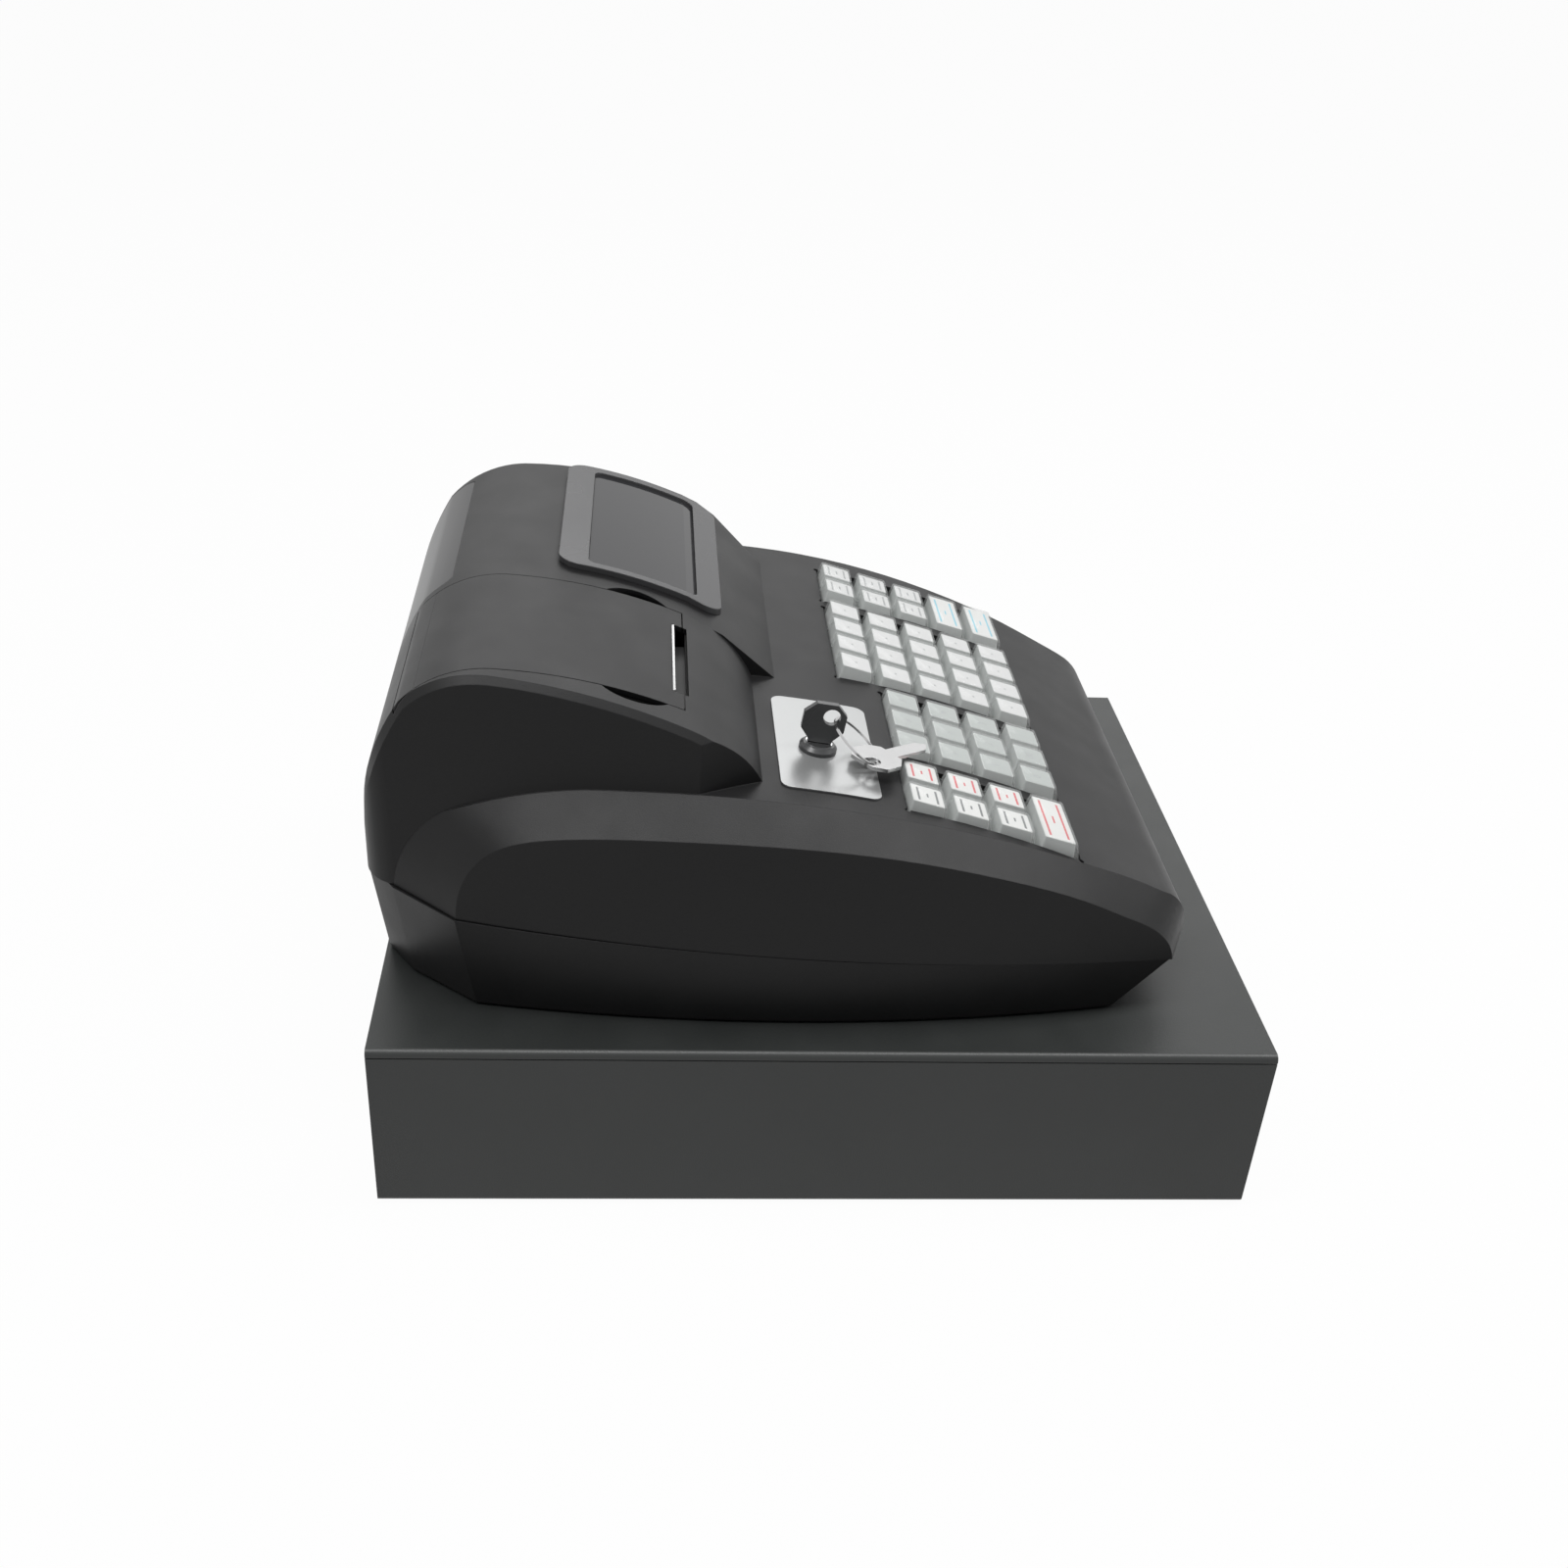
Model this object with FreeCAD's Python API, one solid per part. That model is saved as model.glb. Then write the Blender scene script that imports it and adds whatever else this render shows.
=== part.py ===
import FreeCAD
import Part
import functools
import json
import math
import os

# Ticket register: an electronic cash register standing on its steel cash drawer.
# Millimetres. X runs across the counter, with the operator's left at -X. Y runs from the
# operator at -Y to the customer at +Y. Z is up and the counter is at zero. Pieces are built
# with Y counted from the drawer's front face, and moved to the middle of the part on saving.

V = FreeCAD.Vector
X_AXIS = V(1, 0, 0)
Z_AXIS = V(0, 0, 1)

# Overruns and clearances shared by all pieces
over = 5.0
touch = 0.001
count_step = 0.3
parallel_share = 0.000001
fit_gap = 0.3
slip_gap = 0.5
running_gap = 0.05

# Steel drawer case
case_w = 350.0
case_d = 405.0
case_h = 90.0
sheet = 1.2
bend_r = 3.0
lid_flange = 3.6
lid_seam = 0.5
foot_h = 2.0
foot_r = 8.75
foot_inset_x = 18.0
foot_inset_y = 22.0

# Slides and their rollers
rail_h = 16.0
rail_w = 8.0
rail_z = 28.0
rail_front = 6.0
rail_back_gap = 12.0
roller_r = 6.5
roller_w = 5.0
axle_r = 2.0
front_roller_y = 18.0
runner_t = 1.2
runner_gap = 0.4

# Sliding tray, its front panel and the cash insert
tray_side_gap = 15.8
tray_floor_z = 8.0
tray_h = 58.0
tray_back_gap = 47.0
front_t = 1.6
front_side_gap = 0.8
front_foot_gap = 2.0
front_top_gap = 1.0
insert_wall = 2.0
insert_h = 46.0
insert_gap = 1.0
bill_len = 168.0
bill_count = 4
cup_rows = 2
cup_wall = 1.6
cup_h = 34.0
clip_w = 16.0
clip_t = 1.6
clip_len = 96.0
clip_hub_r = 3.4
clip_pin_r = 1.6
clip_hub_w = 12.0
clip_tip_r = 3.5

# Drawer lock and latch
lock_edge = 55.0
lock_z = 48.0
lock_r = 7.0
lock_head_r = 9.5
lock_head_t = 1.4
lock_len = 16.0
cam_len = 18.0
cam_w = 9.0
cam_t = 2.0
latch_w = 44.0
latch_d = 26.0
latch_h = 46.0
latch_t = 2.0
hook_w = 8.0
hook_tip_gap = 0.7
hook_t = 5.0
hook_pin_r = 2.0

# Register body: plan curves of its sides, measured half widths at the bow's crown
wall = 2.5
bow_y = 218.0
bow_r = 833.0
crease_half = 139.0
side_half = 156.5
fan_y = 218.0
fan_z = 85.0

# Deck arc in the Y-Z plane
deck_r = 488.5
deck_cy = 277.0
deck_cz = -288.5
deck_front_y = 45.0
deck_rear_y = 310.0
nose_low_z = 114.0
nose_bulge_y = 35.0
nose_bulge_z = 127.0
shoulder_bow_y = 345.0
shoulder_bow_z = 192.0
shoulder_y = 372.0
shoulder_z = 181.5
tail_bow_y = 388.5
tail_bow_z = 163.5
body_reach = 187.0
band_drop = 10.2
parting_front_y = 45.0
parting_front_z = 117.0
parting_rear_y = 366.0
parting_rear_z = 138.0
seam_gap = 0.3

# Register base: the lower shell stands on four rubber feet on the drawer's lid
base_gap = 1.5
base_foot_r = 7.0
nose_y = 36.0
rear_y = 409.5
rear_corner_x = 100.0
base_tuck = 3.5
crease_rear_y = 396.0

# Hump over the printer and the displays, corner points of its side view
hump_inset = 0.6
hump_split_x = -21.5
hump_rear_z = 165.0
hump_rear_mid_y = 404.5
hump_rear_mid_z = 197.0
hump_seam_y = 389.0
hump_seam_z = 231.0
hump_shoulder_y = 371.0
hump_shoulder_z = 243.6
hump_top_y = 350.0
hump_top_z = 247.5
hump_mid_y = 308.0
hump_mid_z = 242.0
hump_brow_y = 266.7
hump_brow_z = 228.8
hump_face_y = 251.0
hump_face_z = 219.5
hump_foot_y = 233.5
hump_foot_z = 195.5
fairing_top_y = 249.0
fairing_top_z = 219.0
fairing_foot_y = 221.0
fairing_foot_z = 195.0
hump_corner_y = 262.0
hump_corner_x = 113.0
hump_edge_r = 3.0
hump_sink = 8.0
hump_floor_z = parting_rear_z - hump_sink

# Printer cover, its slot and finger notches
cover_x0 = -118.0
cover_x1 = -21.5
cover_front_y = 269.0
cover_gap = 0.5
hinge_y = 382.0
hinge_z = 228.0
hinge_reach = 9.0
hinge_hub_r = 4.5
hinge_hub_w = 7.0
hinge_pin_r = 2.0
hinge_pin_len = 5.0
slot_x0 = -104.0
slot_x1 = -37.0
slot_y0 = 266.8
slot_y1 = 273.6
tear_t = 1.0
tear_h = 5.0
tear_tooth = 2.8
tear_tooth_h = 1.2
notch_y0 = 276.0
notch_y1 = 304.0
notch_depth = 7.0

# Printer mechanism and paper
frame_t = 2.0
frame_corner = 1.5
frame_floor_z = 184.0
platen_r = 6.0
platen_y = 282.0
platen_z = 221.5
platen_w = 60.0
roll_w = 57.5
roll_r = 24.0
roll_core_r = 6.5
roll_y = 338.0
roll_z = 214.5
spindle_r = 4.0
head_t = 8.0

# Operator display
bezel_x0 = -6.0
bezel_x1 = 125.0
bezel_y0 = 249.0
bezel_y1 = 327.0
bezel_t = 3.0
bezel_r = 10.0
window_x0 = -1.0
window_x1 = 119.0
window_y0 = 261.0
window_y1 = 313.0
window_r = 4.0
window_t = 1.5
window_ledge = 3.0

# Customer display window in the rear of the hump
rear_window_x0 = -15.0
rear_window_x1 = 115.0
rear_window_z0 = 202.0
rear_window_z1 = 241.0
rear_window_t = 1.5

# Mode lock plate, lock, key, ring and spare key on the deck
plate_x0 = -126.0
plate_x1 = -41.5
plate_y0 = 182.0
plate_y1 = 226.5
plate_t = 0.8
plate_r = 5.0
mode_x = -88.5
mode_y = 208.0
barrel_r = 8.6
barrel_h = 4.0
barrel_depth = 24.0
plug_r = 6.0
plug_h = 4.5
key_blade_w = 8.0
key_blade_t = 1.9
key_bow_w = 19.5
key_bow_h = 18.0
key_bow_t = 3.0
key_bow_cut = 5.0
key_neck_h = 1.2
key_hole_r = 3.9
key_hole_up = 11.85
key_hole_along = -3.0
ring_r = 13.7
ring_thick = 1.0
ring_tilt = 41.2
ring_x = -92.3
ring_y = 190.8
ring_z = 201.8
spare_x = -98.5
spare_y = 182.4
spare_half_w = 12.0
spare_half_l = 9.0
spare_cut = 5.0
spare_t = 1.8
spare_blade_w = 8.0
spare_blade_end = 30.8
spare_hole_x = -2.73
spare_hole_l = -5.2
spare_tip_x = 18.0
spare_tip_y = -25.0
spare_tip_z = 7.6
spare_heel_z = 4.8

# Keyboard: one flat plane set into the deck
board_run = 138.25
key_pitch_x = 20.3
key_pitch_y = 21.0
block_gap = 8.3
keyboard_x = -4.0
key_top = 3.7
key_rim = -4.2
key_skirt = 3.0
key_w = 19.6
key_d = 20.0
key_top_w = 16.6
key_top_d = 16.6
key_top_back = 1.4
key_corner = 1.1
key_travel = 2.5
stem_w = 8.0
stem_len = 8.5
cutout_gap = 0.5
cutout_relief_r = 1.3
board_t = 2.0
board_clear = 0.5
board_margin = 3.0

# Inner parts of the register
post_r = 3.5
screw_r = 1.5
screw_head_r = 3.0
screw_head_h = 2.0
pcb_t = 1.6
pcb_gap = 6.0
power_w = 62.0
power_d = 54.0
power_h = 38.0
jack_x = 100.0
jack_w = 12.0
jack_h = 11.0
jack_bore_r = 2.75
jack_bore_len = 9.0
jack_len = 14.0
jack_up = 14.5

case_in = case_w / 2 - sheet
tray_back_y = case_d - tray_back_gap
lock_x = case_w / 2 - lock_edge
floor_top = foot_h + sheet
lid_under = case_h - sheet
base_z = case_h + base_gap
jack_z = base_z + jack_up
tray_half = case_w / 2 - tray_side_gap
part_mid_y = (rear_y - lock_head_t) / 2
roller_z = rail_z + rail_h / 2
nodes = {}


def keep(name, *shapes):
    """Store the solids of one named piece."""
    solids = []
    for shape in shapes:
        solids += shape.removeSplitter().Solids
    nodes[name] = solids


def block(x, y, z):
    """A box between two corners, each axis given as (low, high)."""
    return Part.makeBox(x[1] - x[0], y[1] - y[0], z[1] - z[0], V(x[0], y[0], z[0]))


def rod(radius, start, end):
    """A cylinder between two points."""
    return Part.makeCylinder(radius, (end - start).Length, start, end - start)


def plate_yz(points, x):
    """A flat outline in the Y-Z plane pushed out along X."""
    corners = [V(x[0], y, z) for y, z in points]
    face = Part.Face(Part.makePolygon(corners + corners[:1]))
    return face.extrude(V(x[1] - x[0], 0, 0))


def rounded_plan(x, y, z, radius):
    """An upright block with rounded vertical edges."""
    box = block(x, y, z)
    upright = [e for e in box.Edges if abs(e.tangentAt(e.FirstParameter).z) > 1 - parallel_share]
    return box.makeFillet(radius, upright)


def wedge(low_x, low_y, high_x, high_y, z):
    """A tapered block from one rectangle up to another."""
    shape = Part.makeWedge(
        low_x[0],
        z[0],
        -low_y[1],
        -high_y[1],
        high_x[0],
        low_x[1],
        z[1],
        -low_y[0],
        -high_y[0],
        high_x[1],
    )
    shape.rotate(V(0, 0, 0), X_AXIS, 90)
    return shape


def join(shapes):
    """Several touching shapes as one."""
    shapes = list(shapes)
    return shapes[0].fuse(shapes[1:]) if len(shapes) > 1 else shapes[0]


# Steel case: a folded pan for floor, sides and rear, and a lid with short flanges
def make_case():
    outer = block((-case_w / 2, case_w / 2), (0, case_d), (foot_h, case_h))
    rounded = [e for e in outer.Edges if abs(e.tangentAt(e.FirstParameter).y) > 1 - parallel_share]
    outer = outer.makeFillet(bend_r, rounded)
    inner = block((-case_in, case_in), (-over, case_d - sheet), (floor_top, lid_under))
    inner_bends = [e for e in inner.Edges if abs(e.tangentAt(e.FirstParameter).y) > 1 - parallel_share]
    inner = inner.makeFillet(bend_r - sheet, inner_bends)
    shell = outer.cut(inner)
    seam_z = case_h - lid_flange
    half = case_w / 2 + over
    above = block((-half, half), (-over, case_d + over), (seam_z, case_h + over))
    below = block((-half, half), (-over, case_d + over), (-over, seam_z - lid_seam))
    lid = shell.common(above)
    pan = shell.common(below)
    # The lid keeps stepped inner flanges that close its seam against the pan's walls
    tuck = lid_flange + lid_seam + lid_flange
    flanges = []
    for side in (-1, 1):
        x = sorted((side * (case_in - fit_gap / 2), side * (case_in - fit_gap / 2 - sheet)))
        flanges.append(block(
            x,
            (rail_front, case_d - 2 * sheet),
            (case_h - tuck, lid_under + sheet / 2),
        ))
    y = (case_d - 2 * sheet - fit_gap / 2, case_d - sheet - fit_gap / 2)
    flanges.append(block(
        (-case_in + sheet, case_in - sheet),
        y,
        (case_h - tuck, lid_under + sheet / 2),
    ))
    lid = join([lid] + flanges)
    # A front sill folded up from the floor stiffens the open end
    sill = block(
        (-case_in, case_in),
        (front_t + slip_gap, front_t + slip_gap + sheet),
        (foot_h + sheet / 2, tray_floor_z - 2 * fit_gap),
    )
    keep("case_pan", pan.fuse(sill))
    keep("case_lid", lid)


def make_feet():
    feet = []
    for sx in (-1, 1):
        for y in (foot_inset_y, case_d - foot_inset_y):
            x = sx * (case_w / 2 - foot_inset_x)
            feet.append(rod(foot_r, V(x, y, 0), V(x, y, foot_h)))
    for sx in (-1, 1):
        for y in (base_foot_front_y, base_foot_rear_y):
            x = sx * base_foot_x
            feet.append(rod(base_foot_r, V(x, y, case_h), V(x, y, base_z)))
    keep("rubber_feet", *feet)


# Two channels on the case, rollers at their mouths and rollers at the tray's rear corners
def make_slides():
    rails = []
    for side in (-1, 1):
        outer_x = side * case_in
        inner_x = side * (case_in - rail_w)
        x = sorted((outer_x, inner_x))
        y = (rail_front, case_d - rail_back_gap)
        channel = block(x, y, (rail_z, rail_z + rail_h))
        mouth_x = sorted((side * (case_in - sheet), side * (case_in - rail_w - over)))
        mouth = block(mouth_x, (y[0] - over, y[1] + over), (rail_z + sheet, rail_z + rail_h - sheet))
        channel = channel.cut(mouth)
        axle_in = tray_half + fit_gap
        axle = rod(
            axle_r,
            V(outer_x - side * sheet / 2, front_roller_y, roller_z),
            V(side * axle_in, front_roller_y, roller_z),
        )
        rails.append(channel.fuse(axle))
    keep("case_rails", *rails)
    front = []
    rear = []
    for side in (-1, 1):
        front_x = side * (tray_half + runner_gap + fit_gap)
        front.append(ring(
            roller_r,
            axle_r + running_gap,
            V(front_x, front_roller_y, roller_z),
            V(side * roller_w, 0, 0),
        ))
        rear_x = side * (case_in - sheet - fit_gap - roller_w)
        rear.append(ring(
            roller_r,
            axle_r + running_gap,
            V(rear_x, rear_roller_y, roller_z),
            V(side * roller_w, 0, 0),
        ))
    keep("front_rollers", *front)
    keep("rear_rollers", *rear)


def ring(outer_r, bore_r, start, run):
    """A roller with a bore."""
    return rod(outer_r, start, start + run).cut(rod(bore_r, start, start + run))


rear_roller_y = tray_back_y - roller_r - slip_gap


# Sliding tray folded from sheet, with a runner flange along each side
def make_tray():
    y = (front_t + fit_gap, tray_back_y)
    outer = block((-tray_half, tray_half), y, (tray_floor_z, tray_floor_z + tray_h))
    inner = block(
        (-tray_half + sheet, tray_half - sheet),
        (y[0] + sheet, y[1] - sheet),
        (tray_floor_z + sheet, case_h),
    )
    tray = outer.cut(inner)
    flange_z = roller_z + roller_r + fit_gap
    pieces = [tray]
    for side in (-1, 1):
        x = sorted((side * (tray_half - sheet / 2), side * (case_in - rail_w - runner_gap)))
        pieces.append(block(x, y, (flange_z, flange_z + runner_t)))
        axle_end = side * (case_in - sheet - fit_gap)
        start = V(side * (tray_half - sheet / 2), rear_roller_y, roller_z)
        pieces.append(rod(axle_r, start, V(axle_end, rear_roller_y, roller_z)))
    # The striker that the latch hook drops behind is a bent strip welded to the rear wall
    striker_y = tray_back_y + striker_len
    striker = [
        (tray_back_y, striker_z - striker_leg),
        (tray_back_y + sheet, striker_z - striker_leg),
        (tray_back_y + sheet, striker_z),
        (striker_y, striker_z),
        (striker_y, striker_z + striker_lip),
        (striker_y - sheet, striker_z + striker_lip),
        (striker_y - sheet, striker_z + sheet),
        (tray_back_y, striker_z + sheet),
    ]
    tray = join(pieces)
    lock_hole = rod(lock_r + slip_gap, V(lock_x, 0, lock_z), V(lock_x, tray_lock_depth, lock_z))
    keep("drawer_tray", tray.cut(lock_hole), plate_yz(striker, (-hook_w, hook_w)))


striker_len = 9.0
striker_leg = 8.0
striker_lip = 4.0
striker_z = 36.0
tray_lock_depth = 8.0


def make_front():
    x = (-case_in + front_side_gap, case_in - front_side_gap)
    z = (floor_top + front_foot_gap, case_h - lid_flange - front_top_gap)
    panel = block(x, (0, front_t), z)
    corners = [e for e in panel.Edges if abs(e.tangentAt(e.FirstParameter).y) > 1 - parallel_share]
    panel = panel.makeFillet(bend_r - sheet, corners)
    # Folded returns along the panel's sides stop short of the slides
    for side in (-1, 1):
        edge = side * (case_in - front_side_gap)
        rx = sorted((edge, edge - side * sheet))
        panel = panel.fuse(block(
            rx,
            (front_t / 2, rail_front - slip_gap),
            (z[0] + bend_r, z[1] - bend_r),
        ))
    hole = rod(lock_r + running_gap, V(lock_x, -over, lock_z), V(lock_x, over, lock_z))
    keep("drawer_front", panel.cut(hole))
    keep("drawer_lock", drawer_lock())


# Cylinder lock of the drawer with its cam on the back
def drawer_lock():
    head = rod(lock_head_r, V(lock_x, -lock_head_t, lock_z), V(lock_x, 0, lock_z))
    body = rod(lock_r, V(lock_x, 0, lock_z), V(lock_x, lock_len, lock_z))
    cam_y = (lock_len, lock_len + cam_t)
    cam = block((lock_x - cam_w / 2, lock_x + cam_w / 2), cam_y, (lock_z - cam_w / 2, lock_z + cam_len))
    keyway = block(
        (lock_x - key_blade_t / 2, lock_x + key_blade_t / 2),
        (-over, lock_len / 2),
        (lock_z - key_blade_w / 2, lock_z + key_blade_w / 2),
    )
    return join([head, body, cam]).cut(keyway)


# Cash insert: bill bays behind, a well for the coin cups in front
def make_insert():
    half = tray_half - sheet - insert_gap
    y = (front_t + fit_gap + sheet + insert_gap + insert_front_gap, tray_back_y - sheet - insert_gap)
    z0 = tray_floor_z + sheet
    outer = block((-half, half), y, (z0, z0 + insert_h))
    bay_w = (2 * half - (bill_count + 1) * insert_wall) / bill_count
    bay_y = (y[1] - insert_wall - bill_len, y[1] - insert_wall)
    cuts = []
    places = []
    for i in range(bill_count):
        x0 = -half + insert_wall + i * (bay_w + insert_wall)
        bay = rounded_plan(
            (x0, x0 + bay_w),
            bay_y,
            (z0 + insert_wall, z0 + insert_h + over),
            insert_corner_r,
        )
        cuts.append(bay)
        places.append(((x0, x0 + bay_w), bay_y))
    well = ((-half + insert_wall, half - insert_wall), (y[0] + insert_wall, bay_y[0] - insert_wall))
    cuts.append(block(well[0], well[1], (z0 + insert_wall, z0 + insert_h + over)))
    body = outer.cut(cuts)
    # Ears on the rear wall carry each clip's pin
    ears = []
    clips = []
    pin_z = z0 + insert_h + clip_pin_r
    pin_y = y[1] - clip_hub_r - insert_wall
    for i in range(bill_count):
        cx = (places[i][0][0] + places[i][0][1]) / 2
        for side in (-1, 1):
            ex = sorted((
                cx + side * (clip_hub_w / 2 + fit_gap),
                cx + side * (clip_hub_w / 2 + fit_gap + insert_wall),
            ))
            ear = block(
                ex,
                (pin_y - clip_hub_r, y[1]),
                (z0 + insert_h - clip_ear_drop, pin_z + clip_hub_r - fit_gap),
            )
            ear = ear.cut(rod(
                clip_pin_r + running_gap,
                V(ex[0] - over, pin_y, pin_z),
                V(ex[1] + over, pin_y, pin_z),
            ))
            ears.append(ear)
        clips.append(bill_clip(cx, pin_y, pin_z, z0 + insert_wall))
    body = join([body] + ears)
    keep("cash_insert", body)
    for i, clip in enumerate(clips):
        keep("bill_clip_%d" % (i + 1), clip)
    make_cups(well, z0 + insert_wall)
    return places, (pin_y, pin_z), z0


insert_corner_r = 4.0
insert_front_gap = 16.0
clip_ear_drop = 8.0


# Bill clip: a hub on a pin, a thin spring arm and a rolled tip that rests on the notes
def bill_clip(cx, pin_y, pin_z, floor_z):
    hub = rod(clip_hub_r, V(cx - clip_hub_w / 2, pin_y, pin_z), V(cx + clip_hub_w / 2, pin_y, pin_z))
    reach = clip_hub_w / 2 + insert_wall + fit_gap
    pin = rod(clip_pin_r, V(cx - reach, pin_y, pin_z), V(cx + reach, pin_y, pin_z))
    tip_y = pin_y - clip_len
    tip_z = floor_z + clip_tip_r + fit_gap
    run = math.hypot(clip_len, pin_z - tip_z)
    across_y = clip_t / 2 * (pin_z - tip_z) / run
    across_z = clip_t / 2 * clip_len / run
    outline = [
        (pin_y - across_y, pin_z + across_z),
        (pin_y + across_y, pin_z - across_z),
        (tip_y + across_y, tip_z - across_z),
        (tip_y - across_y, tip_z + across_z),
    ]
    arm = plate_yz(outline, (cx - clip_w / 2, cx + clip_w / 2))
    ear_gap = clip_hub_w / 2
    slim = block(
        (cx - ear_gap, cx + ear_gap),
        (pin_y - over - clip_hub_r, pin_y + over),
        (floor_z, pin_z + over),
    )
    wide = block(
        (cx - clip_w, cx + clip_w),
        (tip_y - over, pin_y - clip_hub_r - slip_gap),
        (floor_z - over, pin_z + over),
    )
    arm = arm.common(slim.fuse(wide))
    tip = rod(clip_tip_r, V(cx - clip_w / 2, tip_y, tip_z), V(cx + clip_w / 2, tip_y, tip_z))
    return join([hub, pin, arm, tip])


# Coin cups: one moulding of rounded cups that lifts out of the well
def make_cups(well, floor_z):
    x = (well[0][0] + slip_gap, well[0][1] - slip_gap)
    y = (well[1][0] + slip_gap, well[1][1] - slip_gap)
    z = (floor_z, floor_z + cup_h)
    outer = block(x, y, z)
    cup_w = (x[1] - x[0] - (bill_count + 1) * cup_wall) / bill_count
    cup_d = (y[1] - y[0] - (cup_rows + 1) * cup_wall) / cup_rows
    for i in range(bill_count):
        for j in range(cup_rows):
            x0 = x[0] + cup_wall + i * (cup_w + cup_wall)
            y0 = y[0] + cup_wall + j * (cup_d + cup_wall)
            outer = outer.cut(coin_scoop((x0, x0 + cup_w), (y0, y0 + cup_d), (z[0] + cup_wall, z[1])))
            cups.append(((x0, x0 + cup_w), (y0, y0 + cup_d), (z[0] + cup_wall, z[1])))
    keep("coin_cups", outer)


cups = []
scoop_r_share = 0.9


def coin_scoop(x, y, z):
    """The hollow of one cup, with a curved front wall that coins slide up."""
    radius = (z[1] - z[0]) * scoop_r_share
    hollow = block(x, y, (z[0], z[1] + over))
    bottom = [e for e in hollow.Edges if abs(e.tangentAt(e.FirstParameter).x) > 1 - parallel_share
              and e.BoundBox.ZMax < z[0] + radius / 2 and e.BoundBox.YMax < y[0] + radius / 2]
    return hollow.makeFillet(radius, bottom)


# Latch at the rear of the case: solenoid on a bracket, and the hook on its pin
def make_latch():
    y1 = case_d - sheet
    bracket = block((-latch_w / 2, latch_w / 2), (y1 - latch_d, y1), (floor_top, floor_top + latch_t))
    back = block((-latch_w / 2, latch_w / 2), (y1 - latch_t, y1), (floor_top, floor_top + latch_h))
    cheeks = []
    for side in (-1, 1):
        x = sorted((side * (hook_w / 2 + fit_gap), side * (hook_w / 2 + fit_gap + latch_t)))
        cheek = block(x, (y1 - latch_d, y1), (floor_top, floor_top + latch_h))
        cheek = cheek.cut(rod(
            hook_pin_r + running_gap,
            V(x[0] - over, hook_pin_y, hook_pin_z),
            V(x[1] + over, hook_pin_y, hook_pin_z),
        ))
        cheeks.append(cheek)
    coil_r = coil_share * latch_h
    coil_x = hook_w / 2 + latch_t + coil_r + 2 * fit_gap
    coil = rod(
        coil_r,
        V(coil_x, y1 - latch_d, floor_top + coil_r + latch_t / 2),
        V(coil_x, y1, floor_top + coil_r + latch_t / 2),
    )
    frame = join([bracket, back] + cheeks)
    keep("latch_unit", frame, coil.cut(frame))
    hook_len = hook_pin_y - tray_back_y - striker_len + sheet + hook_tip_gap + hook_t
    arm = [
        (hook_pin_y + hook_t, hook_pin_z + hook_t / 2),
        (hook_pin_y - hook_t / 2, hook_pin_z + hook_t / 2),
        (hook_pin_y - hook_len, hook_pin_z + hook_t / 2),
        (hook_pin_y - hook_len, hook_pin_z - hook_t / 2),
        (hook_pin_y - hook_len + hook_t, hook_pin_z - hook_t / 2),
        (hook_pin_y - hook_len + hook_t, hook_pin_z),
        (hook_pin_y + hook_t, hook_pin_z - hook_t / 2),
    ]
    hook = plate_yz(arm, (-hook_w / 2, hook_w / 2))
    reach = hook_w / 2 + fit_gap + latch_t
    pin = rod(hook_pin_r, V(-reach, hook_pin_y, hook_pin_z), V(reach, hook_pin_y, hook_pin_z))
    keep("latch_hook", hook.fuse(pin))


coil_share = 0.21
hook_pin_y = case_d - sheet - latch_d / 2 - 3 * latch_t / 2
hook_clear = 1.0
hook_pin_z = striker_z + striker_lip + hook_clear + hook_t / 2


# Plan curves of the body: both sides bow outwards on one large radius
def bow_drop(y):
    """How far the body's sides have come in at one depth."""
    return bow_r - math.sqrt(bow_r ** 2 - (y - bow_y) ** 2)


def bow(y, half):
    """Half width of the body at one depth."""
    return half - bow_drop(y)


def parting_z(y):
    """Height of the seam between the two shells."""
    rise = (parting_rear_z - parting_front_z) / (parting_rear_y - parting_front_y)
    return parting_front_z + rise * (y - parting_front_y)


def deck_z(y, lift=0.0):
    """Height of the deck arc."""
    return deck_cz + math.sqrt((deck_r + lift) ** 2 - (y - deck_cy) ** 2)


def deck_reach(angle, inset):
    """Distance from the fan axis to the deck arc along one ray."""
    dy = -math.cos(angle)
    dz = math.sin(angle)
    oy = fan_y - deck_cy
    oz = fan_z - deck_cz
    half_b = oy * dy + oz * dz
    c = oy ** 2 + oz ** 2 - (deck_r - inset) ** 2
    return -half_b + math.sqrt(half_b ** 2 - c)


# Stations of the bevelled band, from the nose over the deck to the rear shoulder: the ray's
# angle, the crease's reach where it leaves the deck's arc (zero on the arc), and the band's drop
station_shares = (
    (3.0, 0.977, 0.78),
    (9.0, 0.986, 0.79),
    (12.0, 0.997, 0.98),
    (15.0, 0.997, 1.28),
    (17.5, 0.980, 1.44),
    (21.0, 0.0, 1.34),
    (28.0, 0.0, 1.11),
    (42.0, 0.0, 1.00),
    (64.0, 0.0, 0.98),
    (92.0, 0.0, 1.15),
    (118.0, 0.0, 1.47),
    (134.0, 0.829, 1.60),
    (143.0, 0.922, 1.65),
    (148.0, 0.971, 2.02),
    (152.0, 0.992, 2.30),
    (157.0, 1.005, 2.70),
    (162.0, 0.997, 2.95),
    (168.0, 0.974, 2.95),
    (176.0, 0.954, 2.92),
)


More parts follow.
